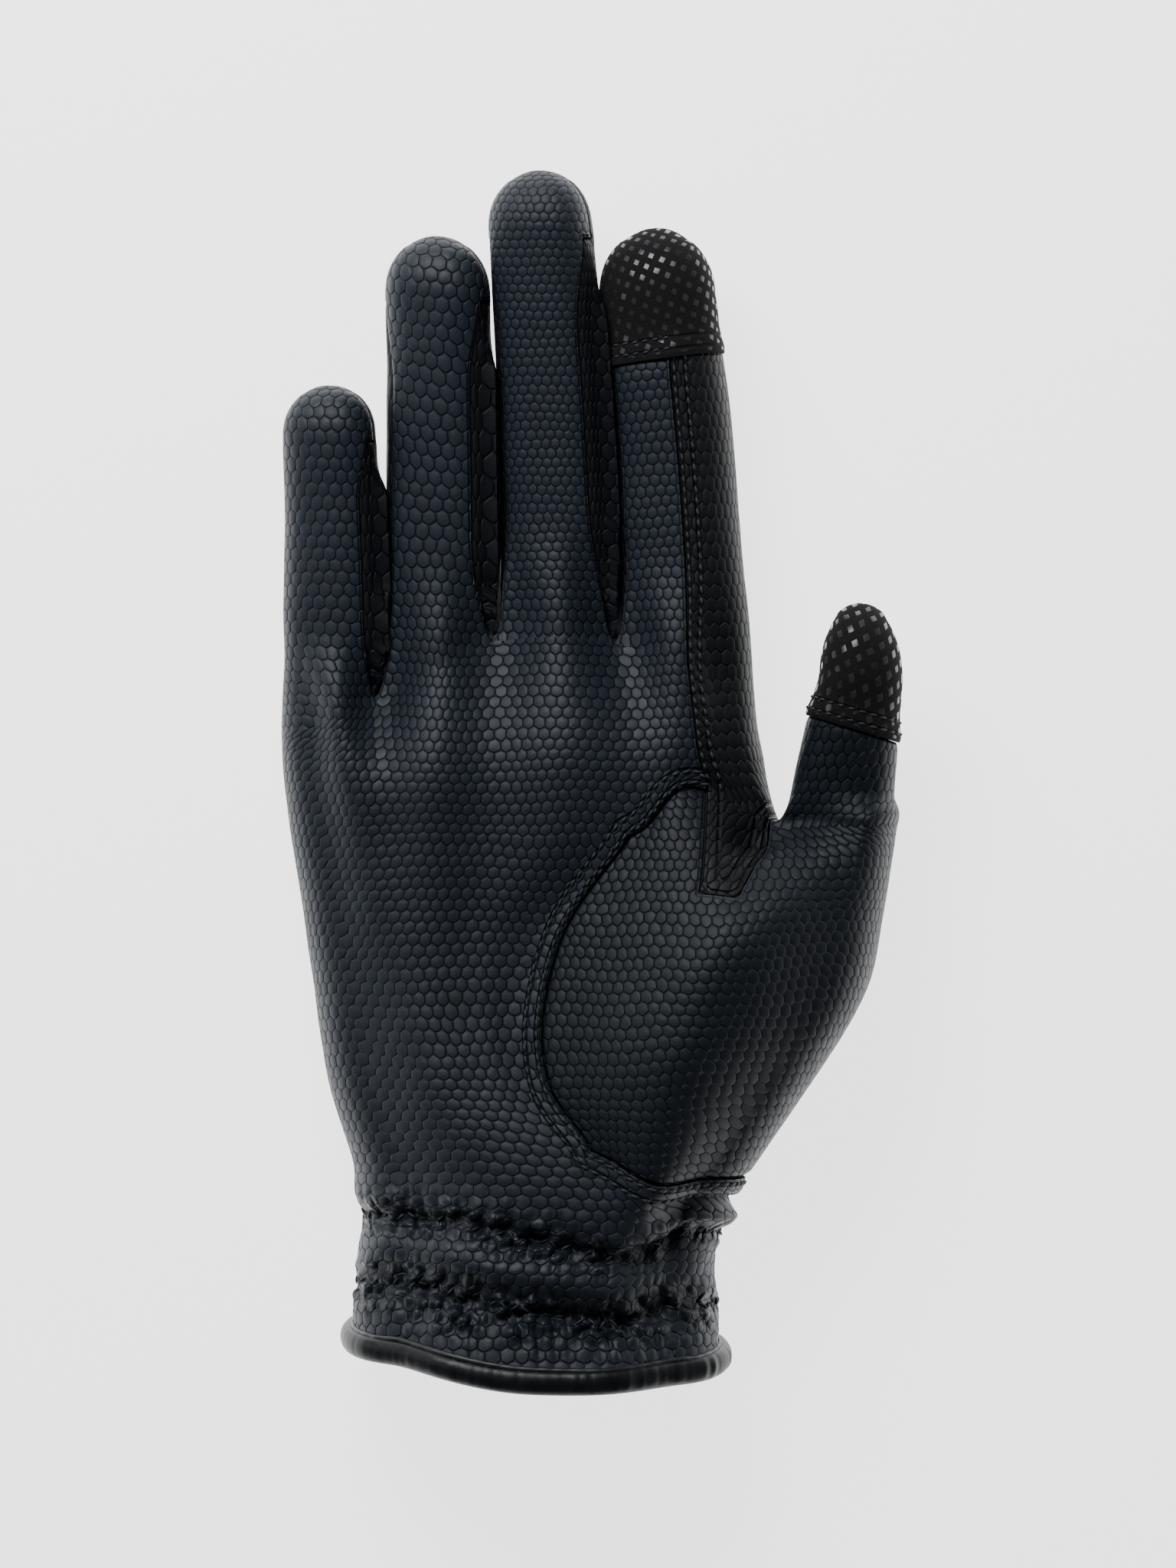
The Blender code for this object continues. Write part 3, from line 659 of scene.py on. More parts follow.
def fold_relief(position, ring):
    """How far the leather stands out in the folds by the wrist and the thumb."""
    height = 0.0
    if UPPER_GATHER < ring < SEAM_FOOT:
        over = ring - (UPPER_GATHER + 0.50)
        height += 1.35 * MM * hump(over, 0.36) * (0.8 + 0.4 * wavy(position, 14 * MM, 2.0))
    if ring < SEAM_FOOT:
        height += 1.9 * MM * hump(ring - 3.70, 0.33) * hump(position.x - 41 * MM, 12 * MM)
        height -= 0.8 * MM * hump(ring - 4.45, 0.18) * hump(position.x - 38 * MM, 14 * MM)
        height += 0.7 * MM * hump(ring - 4.75, 0.16) * hump(position.x - 40 * MM, 11 * MM)
    return height


def web_hollow(position, normal):
    """The hollow where the patch's end is tucked in by the thumb, which is sunk and darkened with painted shade: how
    deep a point of it is, from 0 to 1.
    """
    if normal.z < 0.2:
        return 0.0
    return hump(position.x - WEB_HOLLOW[0], WEB_HOLLOW[2]) * hump(position.y - WEB_HOLLOW[1], WEB_HOLLOW[3])


def soft_relief(position):
    """The slow unevenness of filled leather."""
    slow = 0.30 * MM * wavy(position, 19 * MM, 5.0) + 0.14 * MM * wavy(position, 8 * MM, 9.0)
    return slow


def strip_swells(mesh, outset, places):
    """How far the strips on the fingers' right sides swell towards the next finger, by vertex number."""
    strips = [PANELS.index(fourchette_name(number)) for number in (LITTLE, RING, MIDDLE)]
    inside = {}
    for face in mesh.polygons:
        for corner in face.vertices:
            inside.setdefault(corner, set()).add(face.material_index)
    tree = BVHTree.FromPolygons([position for position, _ in outset],
                                [tuple(face.vertices) for face in mesh.polygons])
    swells = {}
    for number, panels in inside.items():
        if len(panels) > 1 or not panels & set(strips):
            continue
        position, normal = outset[number]
        if normal.x < 0:
            continue
        sideways = Vector((normal.x, 0, normal.z * 0.3)).normalized()
        away = tree.ray_cast(position + sideways * 0.05 * MM, sideways, WIDEST_GAP)[3]
        if away is not None:
            up = places[number][0] - DIGIT_PLACE
            swells[number] = min(STRIP_SHARE * away, WIDEST_SWELL) * ease((0.90 - up) / 0.14)
    return swells


def shape_skin(body):
    """Adds the gathers, folds and unevenness to the smoothed skin."""
    mesh = body.data
    places = [(0.0, 0.0)] * len(mesh.vertices)
    spots = mesh.uv_layers["place"].data
    for loop in mesh.loops:
        places[loop.vertex_index] = tuple(spots[loop.index].uv)
    outset = [(vertex.co.copy(), vertex.normal.copy()) for vertex in mesh.vertices]
    strips = strip_swells(mesh, outset, places)
    creases = [0.0] * len(mesh.vertices)
    gathers = [0.0] * len(mesh.vertices)
    for vertex, (ring, around), (position, normal) in zip(mesh.vertices, places, outset):
        height = soft_relief(position)
        if ring >= DIGIT_PLACE:
            height = strips.get(vertex.index, height)
        else:
            resting = ease(normal.z * -2.0)
            quiet = ease(ring / 0.35)
            relief = gather_relief(position, ring, around) + fold_relief(position, ring)
            height = height * quiet + relief * quiet * (1 - 0.5 * resting)
            gathers[vertex.index] = max(hump(gather_distance(row, seed, ring, around), GATHER_REACH)
                                        for row, _, seed in GATHERS) * quiet
            # Creases mark the hollows of the relief, and below the web hollow; the leather's colour is darkened there
            # as painted shade.
            creases[vertex.index] = min(1.0, max(0.0, 0.10 - relief / (1.1 * MM))) * quiet
        hollow = web_hollow(position, normal)
        creases[vertex.index] = max(creases[vertex.index], hollow)
        moved = position + normal * (height - 2.6 * MM * hollow)
        vertex.co = Vector((moved.x, moved.y, max(moved.z, 0.0)))
    for name, values in (("crease", creases), ("gather", gathers)):
        layer = mesh.attributes.new(name, "FLOAT", "POINT")
        layer.data.foreach_set("value", values)
    mesh.update()


def seam_chains(bm, first, second):
    """The seams between two panels, as chains of vertices in order."""
    links = {}
    for edge in bm.edges:
        if {face.material_index for face in edge.link_faces} == {first, second}:
            first_end, second_end = edge.verts
            for here, there in ((first_end, second_end), (second_end, first_end)):
                links.setdefault(here, []).append(there)
    chains = []
    while links:
        start = min(links, key=lambda vertex: (len(links[vertex]), vertex.index))
        chain = [start]
        while True:
            here = chain[-1]
            onward = links.get(here, [])
            if not onward:
                break
            there = onward[0]
            links[here].remove(there)
            links[there].remove(here)
            chain.append(there)
        for vertex in chain:
            if not links.get(vertex, True):
                del links[vertex]
        if len(chain) > 2:
            chains.append(chain)
    return chains


def into_panel(vertex, ahead, panel):
    """The way from a seam's vertex into one of its panels, square to the seam and along the surface."""
    centres = [face.calc_center_median() for face in vertex.link_faces if face.material_index == panel]
    way = sum(centres, Vector()) / len(centres) - vertex.co
    way -= ahead * way.dot(ahead)
    way -= vertex.normal * way.dot(vertex.normal)
    return way.normalized()


def seam_path(bm, panel, other, offset, longest=0):
    """A line that runs beside a seam at an offset into a panel."""
    first, second = PANELS.index(panel), PANELS.index(other)
    chains = sorted(seam_chains(bm, first, second), key=len, reverse=True)
    chain = chains[longest]
    path = []
    for place, vertex in enumerate(chain):
        before, after = chain[max(place - 2, 0)], chain[min(place + 2, len(chain) - 1)]
        ahead = (after.co - before.co).normalized()
        path.append(vertex.co + into_panel(vertex, ahead, first) * offset)
    return smoothed(path, 3)


def smoothed(path, times):
    """Evens out a line and keeps its ends."""
    for _ in range(times):
        inner = [(path[place - 1] + path[place] * 2 + path[place + 1]) / 4 for place in range(1, len(path) - 1)]
        path = [path[0]] + inner + [path[-1]]
    return path


def spaced(path, pitch, closed=False):
    """Points along a line, a pitch apart."""
    if closed:
        path = path + [path[0]]
    lengths = [0.0]
    for here, after in zip(path, path[1:]):
        lengths.append(lengths[-1] + (after - here).length)
    count = max(2, round(lengths[-1] / pitch))
    points, spot = [], 0
    for step in range(count + (0 if closed else 1)):
        reach = min(lengths[-1] * step / count, lengths[-1] - 1e-9)
        while lengths[spot + 1] < reach:
            spot += 1
        share = (reach - lengths[spot]) / max(lengths[spot + 1] - lengths[spot], 1e-9)
        points.append(path[spot].lerp(path[spot + 1], share))
    return points


# How a panel's edge stands at a seam: panel, neighbour, its step, how wide the step is, and how deep its edge
# rolls in.
EDGES = [
    ("palm_panel", "thumb_panel", 0.40, 4.2, 0.35, 0.7),
    ("thumb_panel", "palm_panel", -0.45, 1.6, 0.10, 0.6),
    ("palm_panel", "index_side_patch", 0.30, 1.2, 0.10, 0.5),
    ("index_side_patch", "palm_panel", -0.30, 1.0, 0.25, 0.5),
    ("thumb_panel", "index_side_patch", 0.10, 1.2, 0.20, 0.5),
    ("index_side_patch", "thumb_panel", -0.10, 1.2, 0.30, 0.5),
    ("palm_panel", "fourchette_little_ring", 0.22, 1.0, 0.20, 0.5),
    ("palm_panel", "fourchette_ring_middle", 0.22, 1.0, 0.20, 0.5),
    ("palm_panel", "fourchette_middle_index", 0.22, 1.0, 0.20, 0.5),
    ("fourchette_little_ring", "palm_panel", -0.40, 1.3, 0.20, 0.6),
    ("fourchette_ring_middle", "palm_panel", -0.40, 1.3, 0.20, 0.6),
    ("fourchette_middle_index", "palm_panel", -0.40, 1.3, 0.20, 0.6),
    ("back_panel", "palm_panel", 0.10, 1.2, 0.35, 0.6),
    ("palm_panel", "back_panel", 0.10, 1.2, 0.35, 0.6),
    ("back_panel", "thumb_panel", 0.25, 1.2, 0.20, 0.6),
    ("thumb_panel", "back_panel", -0.20, 1.2, 0.20, 0.6),
    ("index_tip_pad", "palm_panel", 0.55, 5.0, 0.25, 0.5),
    ("index_tip_pad", "index_side_patch", 0.55, 5.0, 0.25, 0.5),
    ("index_tip_pad", "fourchette_middle_index", 0.35, 3.0, 0.25, 0.5),
    ("index_tip_pad", "back_panel", 0.35, 5.0, 0.25, 0.5),
    ("palm_panel", "index_tip_pad", -0.20, 1.2, 0.10, 0.5),
    ("thumb_tip_pad", "thumb_panel", 0.55, 5.0, 0.25, 0.5),
    ("thumb_panel", "thumb_tip_pad", -0.20, 1.2, 0.10, 0.5),
]


def edge_trees(bm):
    """For each pair of panels that meet, a tree of the points of their seam."""
    pairs = {}
    for vertex in bm.verts:
        panels = {face.material_index for face in vertex.link_faces}
        for panel in panels:
            for other in panels - {panel}:
                pairs.setdefault((panel, other), []).append(vertex.co)
    trees = {}
    for pair, points in pairs.items():
        tree = kdtree.KDTree(len(points))
        for number, point in enumerate(points):
            tree.insert(point, number)
        tree.balance()
        trees[pair] = tree
    return trees


FAR_FROM_SEAM = 12.0
DOUBLE_SEAMS = {("palm_panel", "thumb_panel"), ("index_side_patch", "palm_panel"),
                ("index_side_patch", "thumb_panel")}
PADS = ("index_tip_pad", "thumb_tip_pad")
# Seams where the panel's raised edge gets a painted highlight; the palm's edges at the strips get it too.
HIGHLIT_EDGES = {("palm_panel", "index_side_patch"), ("thumb_panel", "index_side_patch")}


def seam_distances(name, point, trees):
    """How far a point lies from its panel's nearest edge, its twice sewn edge and its edge with a painted highlight,
    in mm.
    """
    nearest = sewn = highlit_edge = FAR_FROM_SEAM
    for (panel, other), tree in trees.items():
        if PANELS[panel] != name:
            continue
        pair = (name, PANELS[other])
        away = tree.find(point)[2] / MM
        nearest = min(nearest, away)
        if pair in DOUBLE_SEAMS or name in PADS:
            sewn = min(sewn, away)
        if pair in HIGHLIT_EDGES or (name == "palm_panel" and pair[1].startswith("fourchette")):
            highlit_edge = min(highlit_edge, away)
    return nearest, sewn, highlit_edge


def cut_panel(bm, name, trees):
    """Cuts one panel out of the skin, lifts or sinks its edges, and gives it a wall."""
    number = PANELS.index(name)
    faces = [face for face in bm.faces if face.material_index == number]
    used = sorted({vertex for face in faces for vertex in face.verts}, key=lambda vertex: vertex.index)
    rules = [(trees[number, PANELS.index(other)], step, width, roll, reach)
             for panel, other, step, width, roll, reach in EDGES
             if panel == name and (number, PANELS.index(other)) in trees]
    spots = {vertex: place for place, vertex in enumerate(used)}
    points = []
    for vertex in used:
        height = 0.0
        for tree, step, width, roll, reach in rules:
            away = tree.find(vertex.co)[2] / MM
            if away < 3 * width:
                height += step * MM * (1 - ease(away / width)) - roll * MM * hump(away, reach)
        point = vertex.co + vertex.normal * height
        border = [face.calc_center_median() for face in vertex.link_faces if face.material_index == number]
        if len(border) < len(vertex.link_faces) or len(border) < 3:
            inward = sum(border, Vector()) / len(border) - vertex.co
            inward -= vertex.normal * inward.dot(vertex.normal)
            point += inward.normalized() * SEAM_GAP / 2
        points.append(Vector((point.x, point.y, max(point.z, 0.0))))
    mesh = bpy.data.meshes.new(name)
    mesh.from_pydata(points, [], [[spots[vertex] for vertex in face.verts] for face in faces])
    grain = bm.loops.layers.uv["grain"]
    layer = mesh.uv_layers.new(name="grain")
    layer.data.foreach_set("uv", [value for face in faces for loop in face.loops for value in loop[grain].uv])
    apart = [seam_distances(name, vertex.co, trees) for vertex in used]
    corners = [apart[spots[vertex]] for face in faces for vertex in face.verts]
    area = sum(face.calc_area() for face in faces)
    crease = bm.verts.layers.float["crease"]
    gather = bm.verts.layers.float["gather"]
    loops = [vertex for face in faces for vertex in face.verts]
    # One map holds the distance to the edges with a painted highlight and how deep a crease is, where painted shade
    # goes.
    maps = (("seam", [value for nearest, sewn, _ in corners for value in (nearest, sewn)]),
            ("cut", [value for (_, _, highlit_edge), vertex in zip(corners, loops) for value in (highlit_edge, vertex[crease])]),
            ("gather", [value for vertex in loops for value in (vertex[gather], 0.0)]))
    for layer_name, values in maps:
        layer = mesh.uv_layers.new(name=layer_name)
        layer.data.foreach_set("uv", values)
    panel = bpy.data.objects.new(name + "_leather", mesh)
    bpy.context.scene.collection.objects.link(panel)
    outside = BVHTree.FromPolygons(points, [[spots[vertex] for vertex in face.verts] for face in faces])
    wall = panel.modifiers.new("wall", "SOLIDIFY")
    wall.thickness = WALL
    wall.offset = -1.0
    wall.material_offset = 1
    pick(panel)
    bpy.ops.object.modifier_apply(modifier=wall.name)
    bpy.ops.object.shade_smooth_by_angle(angle=math.radians(60))
    return panel, outside, area


def snapped(tree, path, sink=0.0):
    """Lays a line on a surface, and returns its points and the surface's normals there."""
    laid = []
    for point in path:
        place, normal = tree.find_nearest(point)[:2]
        laid.append((place - normal * sink, normal))
    return laid


def stitch_shape(length, width, height):
    """One stitch, lying along X, rounded and pulled down at its ends."""
    for other in list(bpy.context.selected_objects):
        other.select_set(False)
    bpy.ops.mesh.primitive_uv_sphere_add(segments=8, ring_count=6, radius=1.0)
    stitch = bpy.context.object
    bpy.ops.object.mode_set(mode="EDIT")
    bpy.ops.transform.resize(value=(length / 2, width / 2, height / 2))
    bpy.ops.object.mode_set(mode="OBJECT")
    corners = [vertex.co.copy() for vertex in stitch.data.vertices]
    faces = [tuple(face.vertices) for face in stitch.data.polygons]
    bpy.data.objects.remove(stitch, do_unlink=True)
    for corner in corners:
        corner.z -= 0.35 * height * (2 * corner.x / length) ** 2
        corner.y *= 1 - 0.25 * math.sin(math.pi * 4 * corner.x / length) ** 2
    return corners, faces


def sew(name, rows, length=1.9 * MM, width=0.62 * MM, height=0.6 * MM, tilt=8):
    """Copies one stitch to each step of the rows, laid along the row and square to the leather."""
    corners, faces = stitch_shape(length, width, height)
    points, polygons = [], []
    for row in rows:
        for number, (place, normal) in enumerate(row):
            before, after = row[max(number - 1, 0)][0], row[min(number + 1, len(row) - 1)][0]
            ahead = (after - before)
            ahead = (ahead - normal * ahead.dot(normal)).normalized()
            side = normal.cross(ahead)
            turn = Matrix((ahead, side, normal)).transposed() @ Matrix.Rotation(math.radians(tilt), 3, "Z")
            lift = place + normal * (0.12 * height)
            start = len(points)
            points += [lift + turn @ corner for corner in corners]
            polygons += [tuple(start + corner for corner in face) for face in faces]
    mesh = bpy.data.meshes.new(name)
    mesh.from_pydata(points, [], polygons)
    thread = bpy.data.objects.new(name, mesh)
    bpy.context.scene.collection.objects.link(thread)
    mesh.shade_smooth()
    return thread


def zigzag(path, tree, pitch, swing):
    """A closed zigzag row on a surface: its steps, each from one side of the line to the other."""
    steps = spaced(path, pitch, closed=True)
    row = []
    for number, point in enumerate(steps):
        ahead = (steps[(number + 1) % len(steps)] - steps[number - 1]).normalized()
        place, normal = tree.find_nearest(point)[:2]
        side = normal.cross(ahead).normalized()
        row.append(place + side * swing * (-1) ** number)
    return row


def zigzag_stitches(corners, tree):
    """The middles of a zigzag's legs, as rows of one stitch between two points that give its way."""
    rows = []
    for here, after in zip(corners, corners[1:] + corners[:1]):
        middle = (here + after) / 2
        place, normal = tree.find_nearest(middle)[:2]
        rows.append([(place - (middle - here) * 0.02, normal), (place + (middle - here) * 0.02, normal)])
    return rows


def tube(name, path, radius_at, sides, closed):
    """A round strip along a line. radius_at gives its half width and half height at a step."""
    points, faces = [], []
    count = len(path)
    for number, (place, normal) in enumerate(path):
        before = path[number - 1 if closed else max(number - 1, 0)][0]
        after = path[(number + 1) % count if closed else min(number + 1, count - 1)][0]
        ahead = (after - before).normalized()
        across = normal.cross(ahead).normalized()
        up = ahead.cross(across).normalized()
        wide, high = radius_at(number)
        for side in range(sides):
            turn = 2 * math.pi * side / sides
            points.append(place + across * (math.cos(turn) * wide) + up * (math.sin(turn) * high))
    for number in range(count if closed else count - 1):
        after = (number + 1) % count
        for side in range(sides):
            near = (side + 1) % sides
            faces.append((number * sides + side, after * sides + side, after * sides + near, number * sides + near))
    if not closed:
        faces.append(tuple(range(sides)))
        faces.append(tuple(range((count - 1) * sides, count * sides))[::-1])
    mesh = bpy.data.meshes.new(name)
    mesh.from_pydata(points, [], faces)
    strip = bpy.data.objects.new(name, mesh)
    bpy.context.scene.collection.objects.link(strip)
    tidy = bmesh.new()
    tidy.from_mesh(mesh)
    bmesh.ops.recalc_face_normals(tidy, faces=tidy.faces)
    tidy.to_mesh(mesh)
    tidy.free()
    mesh.shade_smooth()
    return strip


def shifted(point):
    """A point of the tables in the glove's own frame."""
    return Vector((point.x, point.y - ORIGIN_SHARE * GLOVE_LENGTH, point.z))


def binding_strip():
    """The smooth binding below the hem, wrinkled across where the leather is gathered."""
    points = [shifted(point) for point in hand_ring(HEM, DIGITS)]
    count = len(points)
    middle = sum(points, Vector()) / count
    steps = spaced(points, 0.55 * MM, closed=True)
    for _ in range(HEM_EVENINGS):
        steps = [(steps[place - 1] + point * 2 + steps[(place + 1) % len(steps)]) / 4
                 for place, point in enumerate(steps)]
    profile = 18
    half, reach = BINDING_THICKNESS / 2, BINDING_HEIGHT / 2
    corners, faces = [], []
    for number, point in enumerate(steps):
        ahead = (steps[(number + 1) % len(steps)] - steps[number - 1])
        out = Vector((ahead.z, 0, -ahead.x)).normalized()
        if out.dot(Vector((point.x - middle.x, 0, point.z - middle.z))) < 0:
            out = -out
        wall = point + out * (BINDING_SPREAD * out.x ** 2 - WALL / 2)
        wall.z = max(wall.z, half)
        turn = 2 * math.pi * number / len(steps)
        spot = Vector((math.cos(turn) * 11, math.sin(turn) * 11, 0))
        tight = 0.35 + 0.65 * ease(noise.noise(spot * 0.16 + Vector((3, 1, 0))) * 2.2 + 0.3)
        wrinkle = noise.noise(spot * 2.6) * 0.5 + noise.noise(spot * 5.5 + Vector((0, 0, 7))) * 0.4
        for side in range(profile):
            angle = 2 * math.pi * side / profile
            flat, deep = math.cos(angle), math.sin(angle)
            swell = 1 + 0.40 * tight * wrinkle * abs(deep if abs(flat) < 0.5 else 1.0)
            drop = reach - BINDING_LAP - reach * deep
            corner = wall + out * (half * flat * swell) - Vector((0, drop, 0))
            corners.append(Vector((corner.x, corner.y, max(corner.z, 0.0))))
    for number in range(len(steps)):
        after = (number + 1) % len(steps)
        for side in range(profile):
            near = (side + 1) % profile
            faces.append((number * profile + side, number * profile + near, after * profile + near,
                          after * profile + side))
    mesh = bpy.data.meshes.new("cuff_binding_strip")
    mesh.from_pydata(corners, [], faces)
    strip = bpy.data.objects.new("cuff_binding_strip", mesh)
    bpy.context.scene.collection.objects.link(strip)
    tidy = bmesh.new()
    tidy.from_mesh(mesh)
    bmesh.ops.recalc_face_normals(tidy, faces=tidy.faces)
    tidy.to_mesh(mesh)
    tidy.free()
    mesh.shade_smooth()
    return strip


class Mix:
    """A node's output that Python's signs work on: each sign adds the Math node that does it."""

    def __init__(self, tree, socket):
        self.tree = tree
        self.socket = socket

    def node(self, kind, settings=None, out=0, **inputs):
        """Adds a node with its settings and inputs, and returns one of its outputs."""
        made = self.tree.nodes.new(kind)
        for name, value in (settings or {}).items():
            setattr(made, name, value)
        for name, value in inputs.items():
            counted = name[0] == "i" and name[1:].isdigit()
            spot = made.inputs[int(name[1:]) if counted else name.replace("_", " ")]
            if isinstance(value, Mix):
                self.tree.links.new(value.socket, spot)
            else:
                spot.default_value = value
        return Mix(self.tree, made.outputs[out])

    def maths(self, operation, *values):
        inputs = {f"i{place}": value for place, value in enumerate(values)}
        return self.node("ShaderNodeMath", {"operation": operation}, **inputs)

    def vector(self, operation, *values, out=0):
        names = {f"i{n}": v for n, v in enumerate(values)}
        return self.node("ShaderNodeVectorMath", {"operation": operation}, out=out, **names)

    def __add__(self, other): return self.maths("ADD", self, other)
    def __radd__(self, other): return self.maths("ADD", other, self)
    def __sub__(self, other): return self.maths("SUBTRACT", self, other)
    def __rsub__(self, other): return self.maths("SUBTRACT", other, self)
    def __mul__(self, other): return self.maths("MULTIPLY", self, other)
    def __rmul__(self, other): return self.maths("MULTIPLY", other, self)
    def __truediv__(self, other): return self.maths("DIVIDE", self, other)
    def __pow__(self, other): return self.maths("POWER", self, other)
    def __neg__(self): return self.maths("MULTIPLY", self, -1.0)
    def __abs__(self): return self.maths("ABSOLUTE", self)

    def most(self, other): return self.maths("MAXIMUM", self, other)

    def step(self, low, high):
        """A smooth step from 0 at one value to 1 at another."""
        settings = {"interpolation_type": "SMOOTHSTEP"}
        return self.node("ShaderNodeMapRange", settings, Value=self, From_Min=low, From_Max=high)

    def colours(self, first, second):
        """Goes from one colour to another."""
        made = self.tree.nodes.new("ShaderNodeMix")
        made.data_type = "RGBA"
        for spot, value in ((0, self), (6, first), (7, second)):
            if isinstance(value, Mix):
                self.tree.links.new(value.socket, made.inputs[spot])
            else:
                made.inputs[spot].default_value = (*value, 1.0) if isinstance(value, tuple) else value
        return Mix(self.tree, made.outputs[2])


def finish(name):
    """A new material, its shader, and a start for its shader maths."""
    material = bpy.data.materials.new(name)
    material.use_nodes = True
    tree = material.node_tree
    shader = tree.nodes["Principled BSDF"]
    return material, shader, Mix(tree, None)


def wear(start, shader, colour=None, roughness=None, height=None, depth=0.3 * MM, strength=1.0):
    """Feeds a shader's colour, roughness and bump."""
    tree = start.tree
    if colour is not None:
        tree.links.new(colour.socket, shader.inputs["Base Color"])
    if roughness is not None:
        tree.links.new(roughness.socket, shader.inputs["Roughness"])
    if height is not None:
        bump = start.node("ShaderNodeBump", Height=height, Distance=depth, Strength=strength)
        tree.links.new(bump.socket, shader.inputs["Normal"])


def grain_map(start):
    """The panel's grain map, in millimetres."""
    spot = start.node("ShaderNodeUVMap", {"uv_map": "grain"})
    return start.node("ShaderNodeVectorMath", {"operation": "SCALE"}, i0=spot, Scale=1000.0)


def soft_noise(start, where, scale, detail=2.0, rough=0.5, out=0):
    """Blender's noise at a place."""
    return start.node("ShaderNodeTexNoise", out=out, Vector=where, Scale=scale, Detail=detail, Roughness=rough)


def scales(start, where, width, length, drift, jitter):
    """Rows of rounded scales: how near each point is to a scale's edge, and one number for each scale."""
    sway = start.vector("SUBTRACT", soft_noise(start, where, 0.05, 1.0, out=1), (0.5, 0.5, 0.5))
    shake = start.vector("SUBTRACT", soft_noise(start, where, 0.42, 1.0, out=1), (0.5, 0.5, 0.5))
    sway = start.node("ShaderNodeVectorMath", {"operation": "SCALE"}, i0=sway, Scale=drift)
    shake = start.node("ShaderNodeVectorMath", {"operation": "SCALE"}, i0=shake, Scale=jitter)
    spot = start.vector("ADD", start.vector("ADD", where, sway), shake)
    spot = start.vector("MULTIPLY", spot, (1 / width, 1 / length, 0.0))
    tile = (1.0, 2.0, 1.0)
    half = (0.5, 1.0, 0.5)
    first = start.vector("SUBTRACT", start.vector("WRAP", spot, tile, (0.0, 0.0, 0.0)), half)
    second = start.vector("SUBTRACT",
                          start.vector("WRAP", start.vector("SUBTRACT", spot, half), tile, (0.0, 0.0, 0.0)), half)
    first_reach = start.vector("LENGTH", start.vector("MULTIPLY", first, (1.0, 0.866, 0.0)), out=1)
    second_reach = start.vector("LENGTH", start.vector("MULTIPLY", second, (1.0, 0.866, 0.0)), out=1)
    nearer = first_reach.maths("LESS_THAN", first_reach, second_reach)
    inside = start.node("ShaderNodeMix", {"data_type": "VECTOR"}, out=1, i0=nearer, i4=second, i5=first)
    number = start.node("ShaderNodeTexWhiteNoise", {"noise_dimensions": "2D"},
                        Vector=start.vector("SNAP", start.vector("ADD", start.vector("SUBTRACT", spot, inside),
                                                                 (0.25, 0.25, 0.0)), (0.5, 0.5, 1.0)))
    inside = start.vector("ABSOLUTE", start.vector("MULTIPLY", inside, (1.0, 0.866, 0.0)))
    apart = start.node("ShaderNodeSeparateXYZ", i0=inside)
    across = Mix(start.tree, apart.socket.node.outputs[0])
    upward = Mix(start.tree, apart.socket.node.outputs[1])
    hexagon = across.most(across * 0.5 + upward * 0.866)
    circle = start.vector("LENGTH", inside, out=1)
    reach = hexagon * 0.5 + circle * 0.465
    return reach, number


def seam_map(start):
    """How far the leather is from its nearest and twice sewn edges and from its edges with a painted highlight, in
    millimetres, and how deep a crease is, where painted shade goes.
    """
    seam = start.node("ShaderNodeSeparateXYZ", i0=start.node("ShaderNodeUVMap", {"uv_map": "seam"}))
    highlit_edge = start.node("ShaderNodeSeparateXYZ", i0=start.node("ShaderNodeUVMap", {"uv_map": "cut"}))
    return seam, Mix(start.tree, seam.socket.node.outputs[1]), highlit_edge, Mix(start.tree, highlit_edge.socket.node.outputs[1])


def sewn_rows(sewn, first, second, width):
    """1 along the two rows of stitches beside an edge, 0 away from them."""
    near = 1 - abs(sewn - first).step(0.25 * width, width)
    far = 1 - abs(sewn - second).step(0.25 * width, width)
    return near.most(far)


